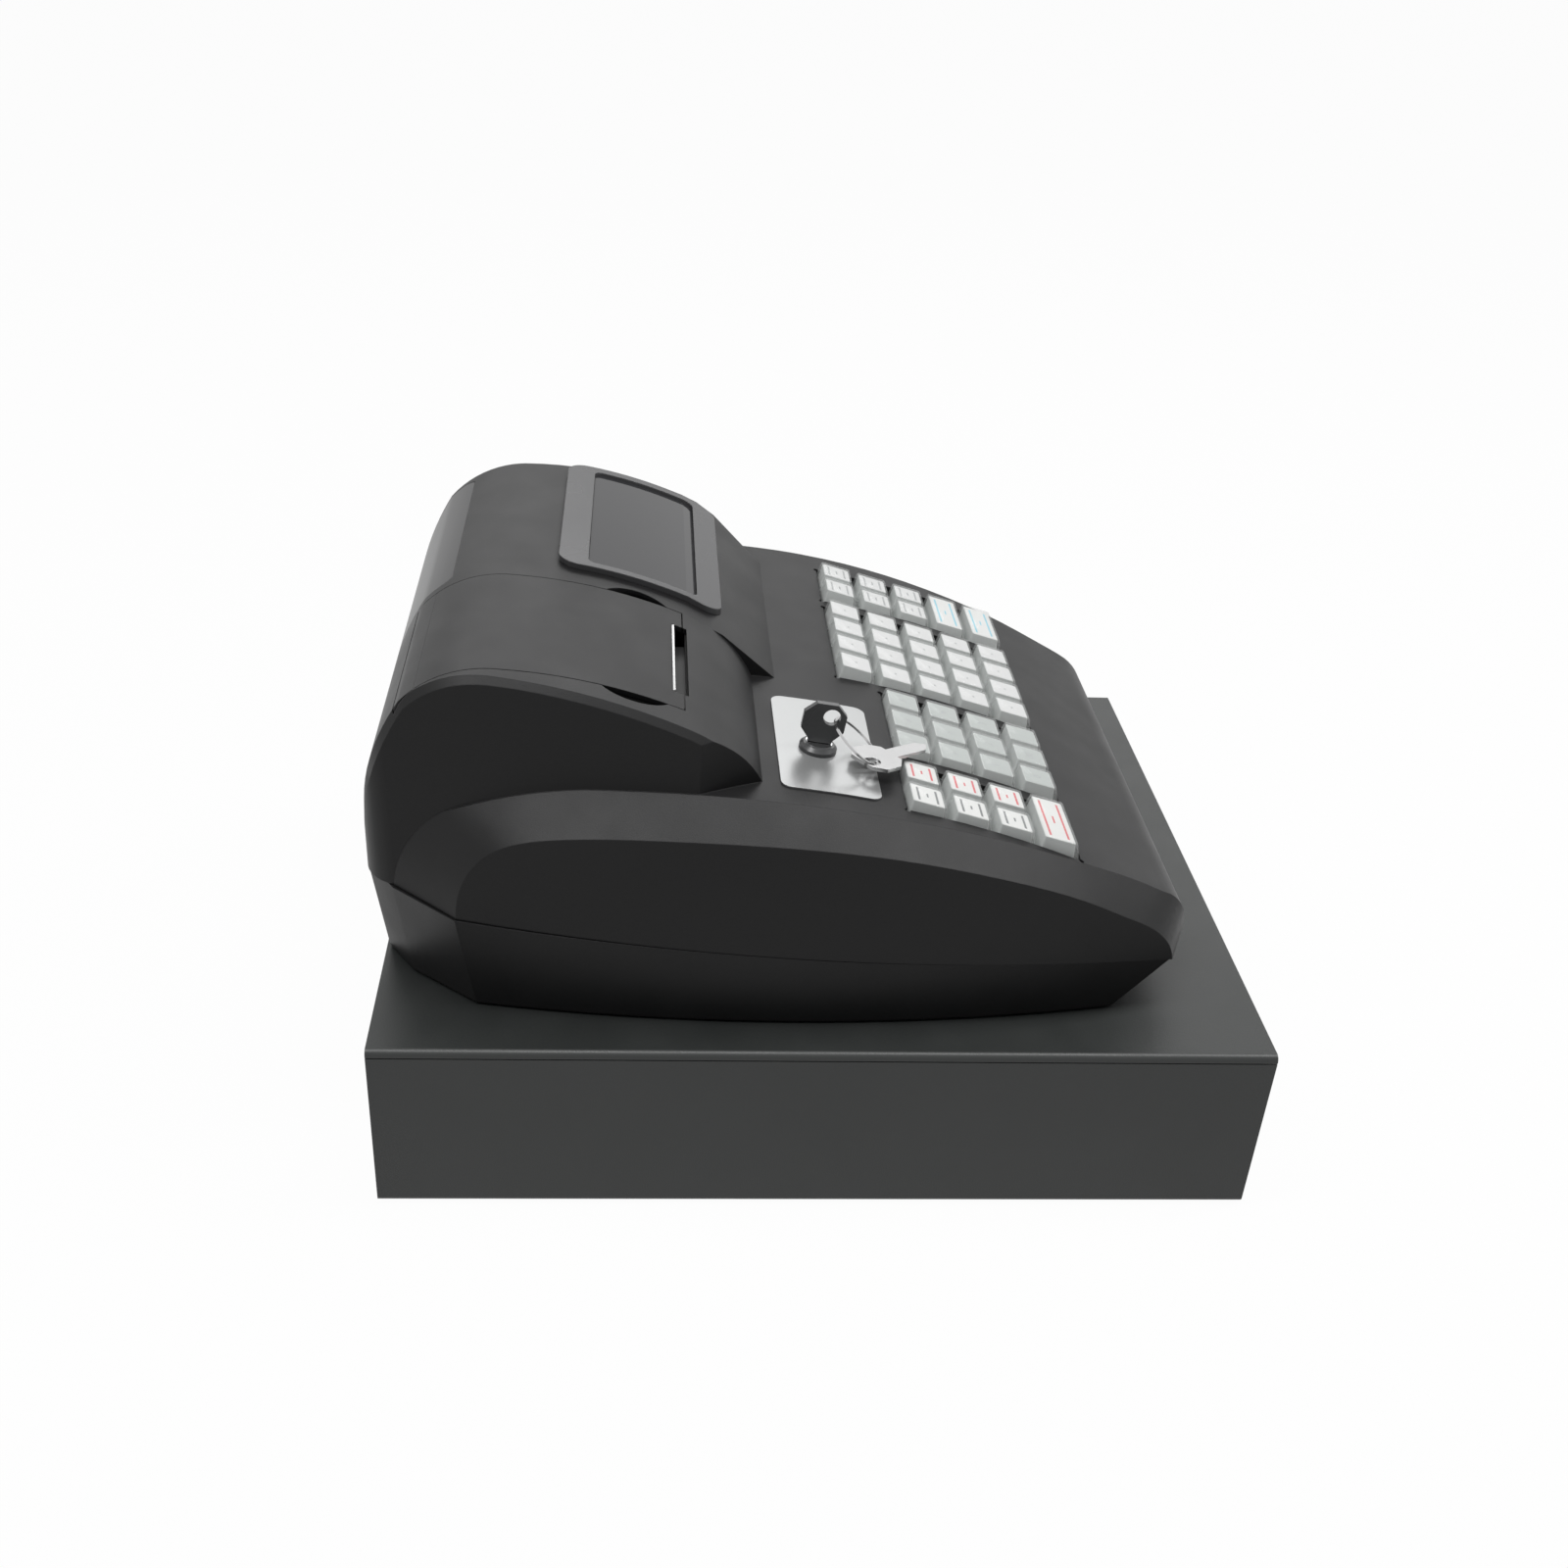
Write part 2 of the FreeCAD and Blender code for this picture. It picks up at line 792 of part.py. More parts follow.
def deck_outline(inset):
    """Side view of the body: nose, deck arc and rear shoulder over a flat bottom."""
    front = V(0, deck_front_y, deck_z(deck_front_y))
    middle_y = (deck_front_y + deck_rear_y) / 2
    rear = V(0, deck_rear_y, deck_z(deck_rear_y))
    shoulder = V(0, shoulder_y, shoulder_z)
    nose = V(0, nose_y, nose_low_z)
    tail = V(0, crease_rear_y, parting_rear_z)
    edges = [
        Part.Arc(nose, V(0, nose_bulge_y, nose_bulge_z), front).toShape(),
        Part.Arc(front, V(0, middle_y, deck_z(middle_y)), rear).toShape(),
        Part.Arc(rear, V(0, shoulder_bow_y, shoulder_bow_z), shoulder).toShape(),
        Part.Arc(shoulder, V(0, tail_bow_y, tail_bow_z), tail).toShape(),
        Part.makeLine(tail, V(0, crease_rear_y, fan_z)),
        Part.makeLine(V(0, crease_rear_y, fan_z), V(0, nose_y, fan_z)),
        Part.makeLine(V(0, nose_y, fan_z), nose),
    ]
    face = Part.Face(Part.Wire(edges))
    return face.makeOffset2D(-inset) if inset else face


def bowed_plan(inset):
    """The space between the body's two bowed sides."""
    half = side_half - inset
    far = rear_y + over
    left = Part.Arc(
        V(-bow(0, half), 0, fan_z),
        V(-half, bow_y, fan_z),
        V(-bow(far, half), far, fan_z),
    ).toShape()
    right = left.mirror(V(0, 0, 0), X_AXIS)
    ends = [Part.makeLine(V(-bow(y, half), y, fan_z), V(bow(y, half), y, fan_z)) for y in (0, far)]
    wire = Part.Wire(Part.__sortEdges__([left, right] + ends))
    return Part.Face(wire).extrude(V(0, 0, hump_top_z - fan_z))


def band_cutter(inset):
    """What lies outside the bevelled band of the left side, between curves along its edges."""
    tracks = [[], [], []]
    run = [0.0]
    for degrees, reach_share, drop_share in station_shares:
        angle = math.radians(degrees)
        reach = reach_share * body_reach - inset if reach_share else deck_reach(angle, inset)
        low = reach - drop_share * band_drop
        ray = V(0, -math.cos(angle), math.sin(angle))
        hub = V(0, fan_y, fan_z)
        crease = hub + ray * reach
        side = hub + ray * low
        crease.x = inset * crease_inset_share - bow(crease.y, crease_half)
        side.x = inset - bow(side.y, side_half)
        slope = (side - crease).normalize()
        corners = [crease - slope * over, side + slope * over]
        corners.append(hub + ray * (reach + over) - X_AXIS * (side_half + 2 * over))
        if tracks[0]:
            run.append(run[-1] + (corners[0] - tracks[0][-1]).Length)
        for track, corner in zip(tracks, corners):
            track.append(corner)
    if inset:
        return closed_solid(flat_strips(tracks))
    edges = [smooth_edge(track, run) for track in tracks]
    faces = [Part.makeRuledSurface(edges[i - 1], edges[i]) for i in range(len(edges))]
    for end in (0, -1):
        rim = [track[end] for track in tracks]
        faces.append(Part.Face(Part.makePolygon(rim + rim[:1])))
    return closed_solid(faces)


def flat_strips(tracks):
    """Three-cornered faces between the tracks, for the form inside the wall."""
    faces = []
    for near, far in zip(tracks, tracks[1:] + tracks[:1]):
        for i in range(1, len(near)):
            for corners in ((near[i - 1], near[i], far[i - 1]), (near[i], far[i], far[i - 1])):
                faces.append(Part.Face(Part.makePolygon([*corners, corners[0]])))
    for end in (0, -1):
        rim = [track[end] for track in tracks]
        faces.append(Part.Face(Part.makePolygon(rim + rim[:1])))
    return faces


@functools.cache
def body_solid(inset):
    """The deck, its bevelled bands and its side walls."""
    half = case_w / 2
    deck = deck_outline(inset).extrude(V(2 * half, 0, 0))
    deck.translate(V(-half, 0, 0))
    cutter = band_cutter(inset)
    return deck.common(bowed_plan(inset)).cut([cutter, cutter.mirror(V(0, 0, 0), X_AXIS)])


def smooth_edge(points, run):
    """A spline edge through the points, spaced by the given run."""
    curve = Part.BSplineCurve()
    curve.interpolate(Points=points, Parameters=run)
    return curve.toShape()


def closed_solid(faces):
    """A solid from faces that meet edge to edge."""
    shell = Part.makeShell(faces)
    shell.sewShape()
    solid = Part.makeSolid(shell)
    if solid.Volume < 0:
        solid.reverse()
    return solid


crease_inset_share = 0.6


def above_parting(lift):
    """Everything above the seam plane, raised by the given lift."""
    far = 2 * rear_y
    half = case_w
    outline = [
        (-far, parting_z(-far) + lift),
        (far, parting_z(far) + lift),
        (far, far),
        (-far, far),
    ]
    return plate_yz(outline, (-half, half))


def hump_outline(front, inset):
    """Side view of the hump, with the printer's face or the display's fairing in front."""
    p = [
        V(0, rear_y, hump_floor_z),
        V(0, rear_y, hump_rear_z),
        V(0, hump_rear_mid_y, hump_rear_mid_z),
        V(0, hump_seam_y, hump_seam_z),
        V(0, hump_shoulder_y, hump_shoulder_z),
        V(0, hump_top_y, hump_top_z),
        V(0, hump_mid_y, hump_mid_z),
        V(0, hump_brow_y, hump_brow_z),
    ]
    edges = [
        Part.makeLine(p[0], p[1]),
        Part.Arc(p[1], p[2], p[3]).toShape(),
        Part.Arc(p[3], p[4], p[5]).toShape(),
        Part.Arc(p[5], p[6], p[7]).toShape(),
    ]
    if front == "printer":
        foot = V(0, hump_foot_y, hump_foot_z)
        edges.append(Part.Arc(p[7], V(0, hump_face_y, hump_face_z), foot).toShape())
    else:
        top = V(0, fairing_top_y, fairing_top_z)
        foot = V(0, fairing_foot_y, fairing_foot_z)
        edges.append(Part.makeLine(p[7], top))
        edges.append(Part.makeLine(top, foot))
    low = V(0, foot.y, hump_floor_z)
    edges += [Part.makeLine(foot, low), Part.makeLine(low, p[0])]
    face = Part.Face(Part.Wire(edges))
    return face.makeOffset2D(-inset) if inset else face


@functools.cache
def hump_plan(inset):
    """Plan of the hump between the deck's creases, with its cut front corners."""
    half = crease_half - hump_inset - inset
    y_mid = (hump_corner_y + crease_rear_y) / 2
    top = hump_top_z + over
    front_y = fairing_foot_y - over
    start = V(-bow(hump_corner_y, half), hump_corner_y, hump_floor_z)
    middle = V(-bow(y_mid, half), y_mid, hump_floor_z)
    end = V(-bow(crease_rear_y, half), crease_rear_y, hump_floor_z)
    corner_mid = V(
        -bow(crease_rear_y, half) + corner_bulge,
        rear_y - inset - corner_bulge,
        hump_floor_z,
    )
    rear = V(-rear_corner_x + inset, rear_y - inset, hump_floor_z)
    nose = V(-hump_corner_x + inset, front_y, hump_floor_z)
    left = [
        Part.makeLine(nose, start),
        Part.Arc(start, middle, end).toShape(),
        Part.Arc(end, corner_mid, rear).toShape(),
    ]
    right = [e.mirror(V(0, 0, 0), X_AXIS) for e in left]
    joins = [
        Part.makeLine(rear, V(-rear.x, rear.y, rear.z)),
        Part.makeLine(V(-nose.x, nose.y, nose.z), nose),
    ]
    wire = Part.Wire(Part.__sortEdges__(left + joins[:1] + right + joins[1:]))
    return Part.Face(wire).extrude(V(0, 0, top - hump_floor_z))


corner_bulge = 5.0


@functools.cache
def hump_solid(inset):
    """The printer half and the display half of the hump as one block."""
    half = case_w / 2
    split = hump_split_x + inset
    printer = hump_outline("printer", inset).extrude(V(half - -split, 0, 0))
    printer.translate(V(-half, 0, 0))
    display = hump_outline("display", inset).extrude(V(half - split, 0, 0))
    display.translate(V(split, 0, 0))
    return printer.fuse(display).common(hump_plan(inset))


def crown_edges(shape, floor):
    """The long upper edges of the hump's two sides."""
    chosen = []
    for e in shape.Edges:
        box = e.BoundBox
        if box.ZMin > floor and min(
            abs(box.XMin),
            abs(box.XMax),
        ) > hump_corner_x and box.YLength > over:
            if e.Length > over and box.YMin > hump_corner_y - over and box.ZLength > touch:
                chosen.append(e)
    return chosen


@functools.cache
def crowned_hump():
    """The hump with its two upper side edges rounded."""
    hump = hump_solid(0)
    return hump.makeChamfer(hump_edge_r, crown_edges(hump, hump_floor_z + over))


def body_block(inset, lift):
    """Outer or inner form of the upper shell above the seam plane."""
    hump = hump_solid(inset) if inset else crowned_hump()
    return body_solid(inset).fuse(hump).common(above_parting(lift))


# Keyboard frame: the plane's tilt, its origin on the deck, and placing shapes on it
board_tilt = board_run / deck_r
board_y = deck_cy - deck_r * math.sin(board_tilt)
board_z = deck_cz + deck_r * math.cos(board_tilt)


def on_board(shape):
    """Move a shape from the keyboard's own frame to its place on the deck."""
    placed = shape.copy()
    placed.rotate(V(0, 0, 0), X_AXIS, math.degrees(board_tilt))
    placed.translate(V(keyboard_x, board_y, board_z))
    return placed


# Columns of keys from the operator's left: block number of each column
column_blocks = (0, 0, 1, 1, 1, 2, 2, 2, 2, 3, 3)
row_count = 5
board_width = (len(column_blocks) - 1) * key_pitch_x + column_blocks[-1] * block_gap


def column_x(column):
    """Middle of one column of keys in the keyboard's frame."""
    return column * key_pitch_x + column_blocks[column] * block_gap - board_width / 2


def row_y(row):
    """Middle of one row of keys, with row 0 nearest the displays."""
    return ((row_count - 1) / 2 - row) * key_pitch_y


def key_cap(column, row, span=1):
    """One key: a tapered cap on a skirt, with a stem that runs in the frame."""
    x = column_x(column) + (span - 1) * key_pitch_x / 2
    y = row_y(row)
    extra = (span - 1) * key_pitch_x / 2
    half_w = key_w / 2 + extra
    half_d = key_d / 2
    top_w = key_top_w / 2 + extra
    top_d = key_top_d / 2
    skirt = block((x - half_w, x + half_w), (y - half_d, y + half_d), (key_rim - key_skirt, key_rim))
    ty = y + key_top_back
    taper = wedge(
        (x - half_w, x + half_w),
        (y - half_d, y + half_d),
        (x - top_w, x + top_w),
        (ty - top_d, ty + top_d),
        (key_rim, key_top),
    )
    upright = [e for e in taper.Edges if e.BoundBox.ZLength > touch]
    taper = taper.makeChamfer(key_corner, upright)
    stem_z = key_rim - key_skirt - stem_len
    stem = block(
        (x - stem_w / 2, x + stem_w / 2),
        (y - stem_w / 2, y + stem_w / 2),
        (stem_z, key_rim - key_skirt / 2),
    )
    return on_board(join([skirt, taper, stem]))


# Which keys make which named piece: (name, ((column, row, span), ...))
def key_groups():
    groups = []
    for row in range(1, row_count):
        for column in (2, 3, 4):
            groups.append(("number_key_%d" % ((row - 1) * 3 + column - 1), ((column, row, 1),)))
    for column in (5, 6, 7, 8):
        name = "department_keys_%d" % (column - 4)
        groups.append((name, tuple((column, row, 1) for row in range(row_count))))
    groups.append(("paper_keys_1", tuple((0, row, 1) for row in (1, 2, 3))))
    groups.append(("paper_keys_2", tuple((1, row, 1) for row in (1, 2, 3))))
    groups.append(("clerk_key", ((0, 4, 2),)))
    far = [(column, row, 1) for column in (9, 10) for row in (0, 1, 2)]
    groups.append(("function_keys", tuple(far)))
    groups.append(("subtotal_key", ((9, 3, 2),)))
    groups.append(("cash_key", ((9, 4, 2),)))
    return groups


def block_rows(number):
    """First and last row of one block of keys."""
    return (0 if number >= 2 else 1, row_count - 1)


def block_outline(number, margin):
    """Plan rectangle of one block of keys in the keyboard's frame."""
    columns = [c for c, b in enumerate(column_blocks) if b == number]
    first, last = block_rows(number)
    x = (column_x(columns[0]) - key_w / 2 - margin, column_x(columns[-1]) + key_w / 2 + margin)
    y = (row_y(last) - key_d / 2 - margin, row_y(first) + key_d / 2 + margin)
    return x, y


def keyboard_cutout():
    """The openings in the deck, with a round relief at each corner."""
    cuts = []
    z = (-deck_sink, deck_sink)
    for number in range(column_blocks[-1] + 1):
        x, y = block_outline(number, cutout_gap)
        cuts.append(block(x, y, z))
        for cx in x:
            for cy in y:
                cuts.append(rod(cutout_relief_r, V(cx, cy, z[0]), V(cx, cy, z[1])))
    return on_board(join(cuts))


deck_sink = 14.0


# Keyboard frame with one guide for each stem, hung under the deck
def make_keyboard():
    top = key_rim - key_skirt - key_travel - board_clear
    z = (top - board_t, top)
    x_lo, y_lo = block_outline(0, board_margin)[0][0], block_outline(0, board_margin)[1][0]
    x_hi, y_hi = block_outline(3, board_margin)[0][1], block_outline(3, board_margin)[1][1]
    frame = block((x_lo, x_hi), (y_lo, y_hi), z)
    rim_z = (z[0], deck_sink)
    rim = block((x_lo, x_hi), (y_lo, y_hi), rim_z)
    rim = rim.cut(block(
        (x_lo + board_t, x_hi - board_t),
        (y_lo + board_t, y_hi - board_t),
        (z[0] - over, rim_z[1] + over),
    ))
    holes = []
    for name, keys in key_groups():
        for column, row, span in keys:
            x = column_x(column) + (span - 1) * key_pitch_x / 2
            half = stem_w / 2 + fit_gap
            holes.append(block(
                (x - half, x + half),
                (row_y(row) - half, row_y(row) + half),
                (z[0] - over, z[1] + over),
            ))
        keep(name, *[key_cap(*key) for key in keys])
    frame = frame.cut(holes)
    under = deck_cylinder(-wall - fit_gap)
    shell_side = body_solid(wall + fit_gap)
    rim = on_board(rim).common(under).common(shell_side)
    legs = []
    for lx in (x_lo + leg_in, x_hi - leg_in):
        for ly in (y_lo + leg_in, y_hi - leg_in):
            legs.append(rod(post_r, V(lx, ly, z[0] - leg_len), V(lx, ly, z[0] + board_t / 2)))
    frame = join([on_board(join([frame] + legs)), rim])
    keep("key_frame", frame)
    pcb_z = z[0] - leg_len
    board = block((x_lo, x_hi), (y_lo, y_hi), (pcb_z - pcb_t, pcb_z))
    return on_board(board)


leg_in = 5.0
leg_len = 8.0


def deck_cylinder(lift):
    """The solid cylinder under the deck arc, raised or sunk by a lift."""
    half = case_w / 2
    return Part.makeCylinder(deck_r + lift, 2 * half, V(-half, deck_cy, deck_cz), X_AXIS)


# Mode lock on its plate
def make_mode_lock():
    tilt = math.asin((deck_cy - mode_y) / deck_r)
    up = V(0, -math.sin(tilt), math.cos(tilt))
    along = V(0, math.cos(tilt), math.sin(tilt))
    seat = V(mode_x, mode_y, deck_z(mode_y))
    plate = rounded_plan(
        (plate_x0, plate_x1),
        (plate_y0, plate_y1),
        (hump_floor_z, hump_top_z),
        plate_r,
    )
    plate = plate.common(deck_cylinder(plate_t)).cut(deck_cylinder(running_gap))
    plate = plate.cut(rod(barrel_r + running_gap, seat - up * over, seat + up * over))
    keep("lock_plate", plate)
    barrel = rod(barrel_r, seat - up * barrel_depth, seat + up * barrel_h)
    barrel = barrel.makeChamfer(barrel_edge, top_edges(barrel, up))
    barrel = barrel.cut(rod(
        plug_r + running_gap,
        seat - up * (barrel_depth + over),
        seat + up * (barrel_h + over),
    ))
    flange = rod(
        barrel_r + barrel_flange,
        seat - up * (wall + fit_gap + barrel_flange),
        seat - up * (wall + fit_gap),
    )
    flange = flange.cut(rod(plug_r + running_gap, seat - up * barrel_depth, seat + up * over))
    keep("mode_lock_barrel", barrel.fuse(flange))
    plug = rod(plug_r, seat - up * (barrel_depth + over), seat + up * plug_h)
    blade = lock_box(
        seat,
        up,
        along,
        (-key_blade_t / 2, key_blade_t / 2),
        (-key_blade_w / 2, key_blade_w / 2),
        (-key_blade_depth, plug_h + over),
    )
    grown = lock_box(
        seat,
        up,
        along,
        (-key_blade_t / 2 - fit_gap / 2, key_blade_t / 2 + fit_gap / 2),
        (-key_blade_w / 2 - fit_gap / 2, key_blade_w / 2 + fit_gap / 2),
        (-key_blade_depth - fit_gap, plug_h + over),
    )
    tail = lock_box(
        seat,
        up,
        along,
        (-cam_w / 2, cam_w / 2),
        (-cam_w / 2, mode_tail),
        (-barrel_depth - over, -barrel_depth - over + cam_t),
    )
    keep("mode_lock_plug", plug.cut(grown).fuse(tail))
    keep("mode_key", mode_key(seat, up, along, blade))
    return seat, up, along


barrel_edge = 1.5
barrel_flange = 2.0
key_blade_depth = 18.0
mode_tail = 9.0


def top_edges(shape, up):
    """The edges of a shape that lie furthest along a direction."""
    best = max(v.Point.dot(up) for v in shape.Vertexes)
    return [e for e in shape.Edges if all(v.Point.dot(up) > best - touch for v in e.Vertexes)]


def lock_box(seat, up, along, x, a, u):
    """A box in the lock's own frame: across, along the deck and up from the seat."""
    corner = seat + X_AXIS * x[0] + along * a[0] + up * u[0]
    points = [corner, corner + X_AXIS * (x[1] - x[0])]
    points += [points[1] + along * (a[1] - a[0]), points[0] + along * (a[1] - a[0])]
    return Part.Face(Part.makePolygon(points + points[:1])).extrude(up * (u[1] - u[0]))


def mode_key(seat, up, along, blade):
    """Steel blade in a moulded bow with cut corners and a hole for the ring."""
    low = plug_h + fit_gap
    high = low + key_neck_h + key_bow_h
    half = key_bow_w / 2
    neck = key_blade_w / 2 + key_bow_t / 2
    outline = [
        (-neck, low),
        (neck, low),
        (neck, low + key_neck_h),
        (half, low + key_neck_h + key_bow_cut),
        (half, high - key_bow_cut),
        (half - key_bow_cut, high),
        (key_bow_cut - half, high),
        (-half, high - key_bow_cut),
        (-half, low + key_neck_h + key_bow_cut),
        (-neck, low + key_neck_h),
    ]
    points = [seat + X_AXIS * (-key_bow_t / 2) + along * a + up * u for a, u in outline]
    bow_piece = Part.Face(Part.makePolygon(points + points[:1])).extrude(X_AXIS * key_bow_t)
    hole_at = seat + up * (low + key_neck_h + key_hole_up) + along * key_hole_along
    hole = rod(key_hole_r, hole_at - X_AXIS * over, hole_at + X_AXIS * over)
    return bow_piece.cut(hole).fuse(blade)


def make_ring(seat, up, along):
    """Flat wire ring through both bows, and the spare key that lies on it over the deck."""
    run = V(spare_tip_x, spare_tip_y, 0).normalize()
    heel = V(spare_x, spare_y, 0) - run * spare_half_l
    tip = V(spare_x, spare_y, 0) + run * spare_blade_end
    heel.z = deck_z(heel.y) + spare_heel_z
    tip.z = deck_z(tip.y) + spare_tip_z
    ahead = (tip - heel).normalize()
    across = ahead.cross(Z_AXIS).normalize() * -1
    across = across if across.x > 0 else across * -1
    normal = across.cross(ahead)
    normal = normal if normal.z > 0 else normal * -1
    middle = heel + ahead * spare_half_l
    outline = [
        (-spare_half_w, -spare_half_l + spare_cut),
        (-spare_half_w + spare_cut, -spare_half_l),
        (spare_half_w - spare_cut, -spare_half_l),
        (spare_half_w, -spare_half_l + spare_cut),
        (spare_half_w, spare_half_l - spare_cut),
        (spare_half_w - spare_cut, spare_half_l),
        (spare_blade_w / 2, spare_half_l),
        (spare_blade_w / 2, spare_blade_end - spare_blade_w / 2),
        (0, spare_blade_end),
        (-spare_blade_w / 2, spare_blade_end - spare_blade_w / 2),
        (-spare_blade_w / 2, spare_half_l),
        (-spare_half_w + spare_cut, spare_half_l),
        (-spare_half_w, spare_half_l - spare_cut),
    ]
    points = [middle + across * a + ahead * b for a, b in outline]
    key = Part.Face(Part.makePolygon(points + points[:1])).extrude(normal * spare_t)
    hole = middle + across * spare_hole_x + ahead * spare_hole_l
    key = key.cut(rod(key_hole_r, hole - normal * over, hole + normal * over))
    keep("spare_key", key)
    centre = V(ring_x, ring_y, ring_z)
    lean = math.radians(ring_tilt)
    axis = V(0, math.sin(lean), -math.cos(lean))
    outer = rod(ring_r + ring_thick / 2, centre - axis * ring_thick / 2, centre + axis * ring_thick / 2)
    inner = rod(ring_r - ring_thick / 2, centre - axis * ring_thick, centre + axis * ring_thick)
    keep("key_ring", outer.cut(inner))
    return seat + up * (plug_h + fit_gap + key_neck_h + key_hole_up) + along * key_hole_along


# Printer cover cut from the hump's own skin, with hinge hubs behind and the tear bar in front
def cover_plan(gap):
    """The region of the hump that the cover fills, grown by a gap."""
    x = (cover_x0 - gap, cover_x1 + gap)
    y = (cover_front_y - gap, hinge_y)
    main = block(x, y, (cover_cut_z, hump_top_z + over))
    roll = rod(hinge_reach + gap, V(x[0], hinge_y, hinge_z), V(x[1], hinge_y, hinge_z))
    return main.fuse(roll)


cover_cut_z = 214.0


def slot_box():
    """The paper slot, through the seam at the cover's front edge."""
    return block((slot_x0, slot_x1), (slot_y0, slot_y1), (cover_cut_z - over, hump_top_z + over))


def make_cover(skin):
    cover = skin.common(cover_plan(0)).cut(slot_box())
    cover = max(cover.Solids, key=lambda s: s.Volume)
    pieces = [cover]
    hubs = []
    for side in (-1, 1):
        end = cover_x0 + hinge_pin_len + fit_gap if side < 0 else cover_x1 - hinge_pin_len - fit_gap
        start = V(end, hinge_y, hinge_z)
        hub_end = V(end - side * hinge_hub_w, hinge_y, hinge_z)
        hubs.append(rod(hinge_hub_r, start, hub_end))
        web_y = (hinge_y - hinge_hub_r, hinge_y + hinge_hub_r)
        x = sorted((start.x, hub_end.x))
        web = block(x, web_y, (hinge_z, hump_top_z + over)).common(hump_solid(wall / 2))
        hubs.append(web)
        hubs.append(rod(
            hinge_pin_r,
            V(hub_end.x, hinge_y, hinge_z),
            V(end + side * hinge_pin_len, hinge_y, hinge_z),
        ))
    # Ears inside the front edge carry the platen's journals
    for side in (-1, 1):
        ear_x = platen_mid + side * (platen_w / 2 + fit_gap)
        x = sorted((ear_x, ear_x + side * frame_t))
        ear = block(
            x,
            (platen_y - platen_r, platen_y + platen_r),
            (platen_z - platen_r / 2, hump_top_z),
        ).common(hump_solid(wall / 2))
        ear = ear.cut(rod(
            axle_r + running_gap,
            V(x[0] - over, platen_y, platen_z),
            V(x[1] + over, platen_y, platen_z),
        ))
        hubs.append(ear)
    cover = join(pieces + hubs)
    keep("printer_cover", cover)
    journal = platen_w / 2 + fit_gap + frame_t
    rubber = rod(
        platen_r,
        V(platen_mid - platen_w / 2, platen_y, platen_z),
        V(platen_mid + platen_w / 2, platen_y, platen_z),
    )
    shaft = rod(
        axle_r,
        V(platen_mid - journal, platen_y, platen_z),
        V(platen_mid + journal, platen_y, platen_z),
    )
    keep("platen_roller", rubber.fuse(shaft))
    make_tear_bar()


platen_mid = (slot_x0 + slot_x1) / 2


def make_tear_bar():
    """Saw-toothed strip along the rear edge of the slot."""
    count = int((slot_x1 - slot_x0 - 2 * fit_gap) / tear_tooth)
    length = count * tear_tooth
    x0 = (slot_x0 + slot_x1 - length) / 2
    top = tear_top_z
    outline = [(x0, top - tear_h)]
    for i in range(count):
        outline.append((x0 + i * tear_tooth, top - tear_tooth_h))
        outline.append((x0 + (i + 1 / 2) * tear_tooth, top))
    outline.append((x0 + length, top - tear_tooth_h))
    outline.append((x0 + length, top - tear_h))
    points = [V(x, slot_y1 - tear_t, z) for x, z in outline]
    bar = Part.Face(Part.makePolygon(points + points[:1])).extrude(V(0, tear_t, 0))
    keep("tear_bar", bar)


tear_top_z = 232.4


# Printer frame: a tub under the cover with side plates, head block and roll cradle
def make_printer():
    x = (cover_x0, cover_x1)
    y = (slot_y1 - head_t, hinge_y + hinge_reach)
    top = hump_top_z
    outer = block(x, y, (frame_floor_z, top))
    hollow = block(
        (x[0] + frame_t, x[1] - frame_t),
        (y[0] + frame_t, y[1] - frame_t),
        (frame_floor_z + frame_t, top + over),
    )
    corner = [e for e in outer.Edges if abs(e.tangentAt(e.FirstParameter).z) > 1 - parallel_share]
    corner = [e for e in corner if e.CenterOfMass.y > roll_y]
    tub = outer.makeChamfer(frame_corner, corner).cut(hollow)
    head = block(
        (platen_mid - platen_w / 2, platen_mid + platen_w / 2),
        (y[0] + frame_t / 2, platen_y - platen_r - fit_gap),
        (frame_floor_z + frame_t / 2, platen_z),
    )
    cradle = []
    for side in (-1, 1):
        cx = sorted((
            platen_mid + side * (roll_w / 2 + slip_gap),
            platen_mid + side * (roll_w / 2 + slip_gap + frame_t),
        ))
        cradle.append(block(
            cx,
            (roll_y - roll_r, roll_y + roll_r),
            (frame_floor_z + frame_t / 2, roll_z + spindle_r),
        ))
    body = join([tub, head] + cradle)
    trimmed = body.common(hump_solid(wall + fit_gap).fuse(block(
        x,
        y,
        (frame_floor_z - over, hump_foot_z),
    )))
    trimmed = trimmed.cut(cover_sweep())
    start = V(x[0] - over, hinge_y, hinge_z)
    trimmed = trimmed.cut(rod(hinge_pin_r + running_gap, start, V(x[1] + over, hinge_y, hinge_z)))
    keep("printer_frame", max(trimmed.Solids, key=lambda s: s.Volume))
    roll = rod(
        roll_r,
        V(platen_mid - roll_w / 2, roll_y, roll_z),
        V(platen_mid + roll_w / 2, roll_y, roll_z),
    )
    bore = rod(
        roll_core_r,
        V(platen_mid - roll_w, roll_y, roll_z),
        V(platen_mid + roll_w, roll_y, roll_z),
    )
    keep("paper_roll", roll.cut(bore))


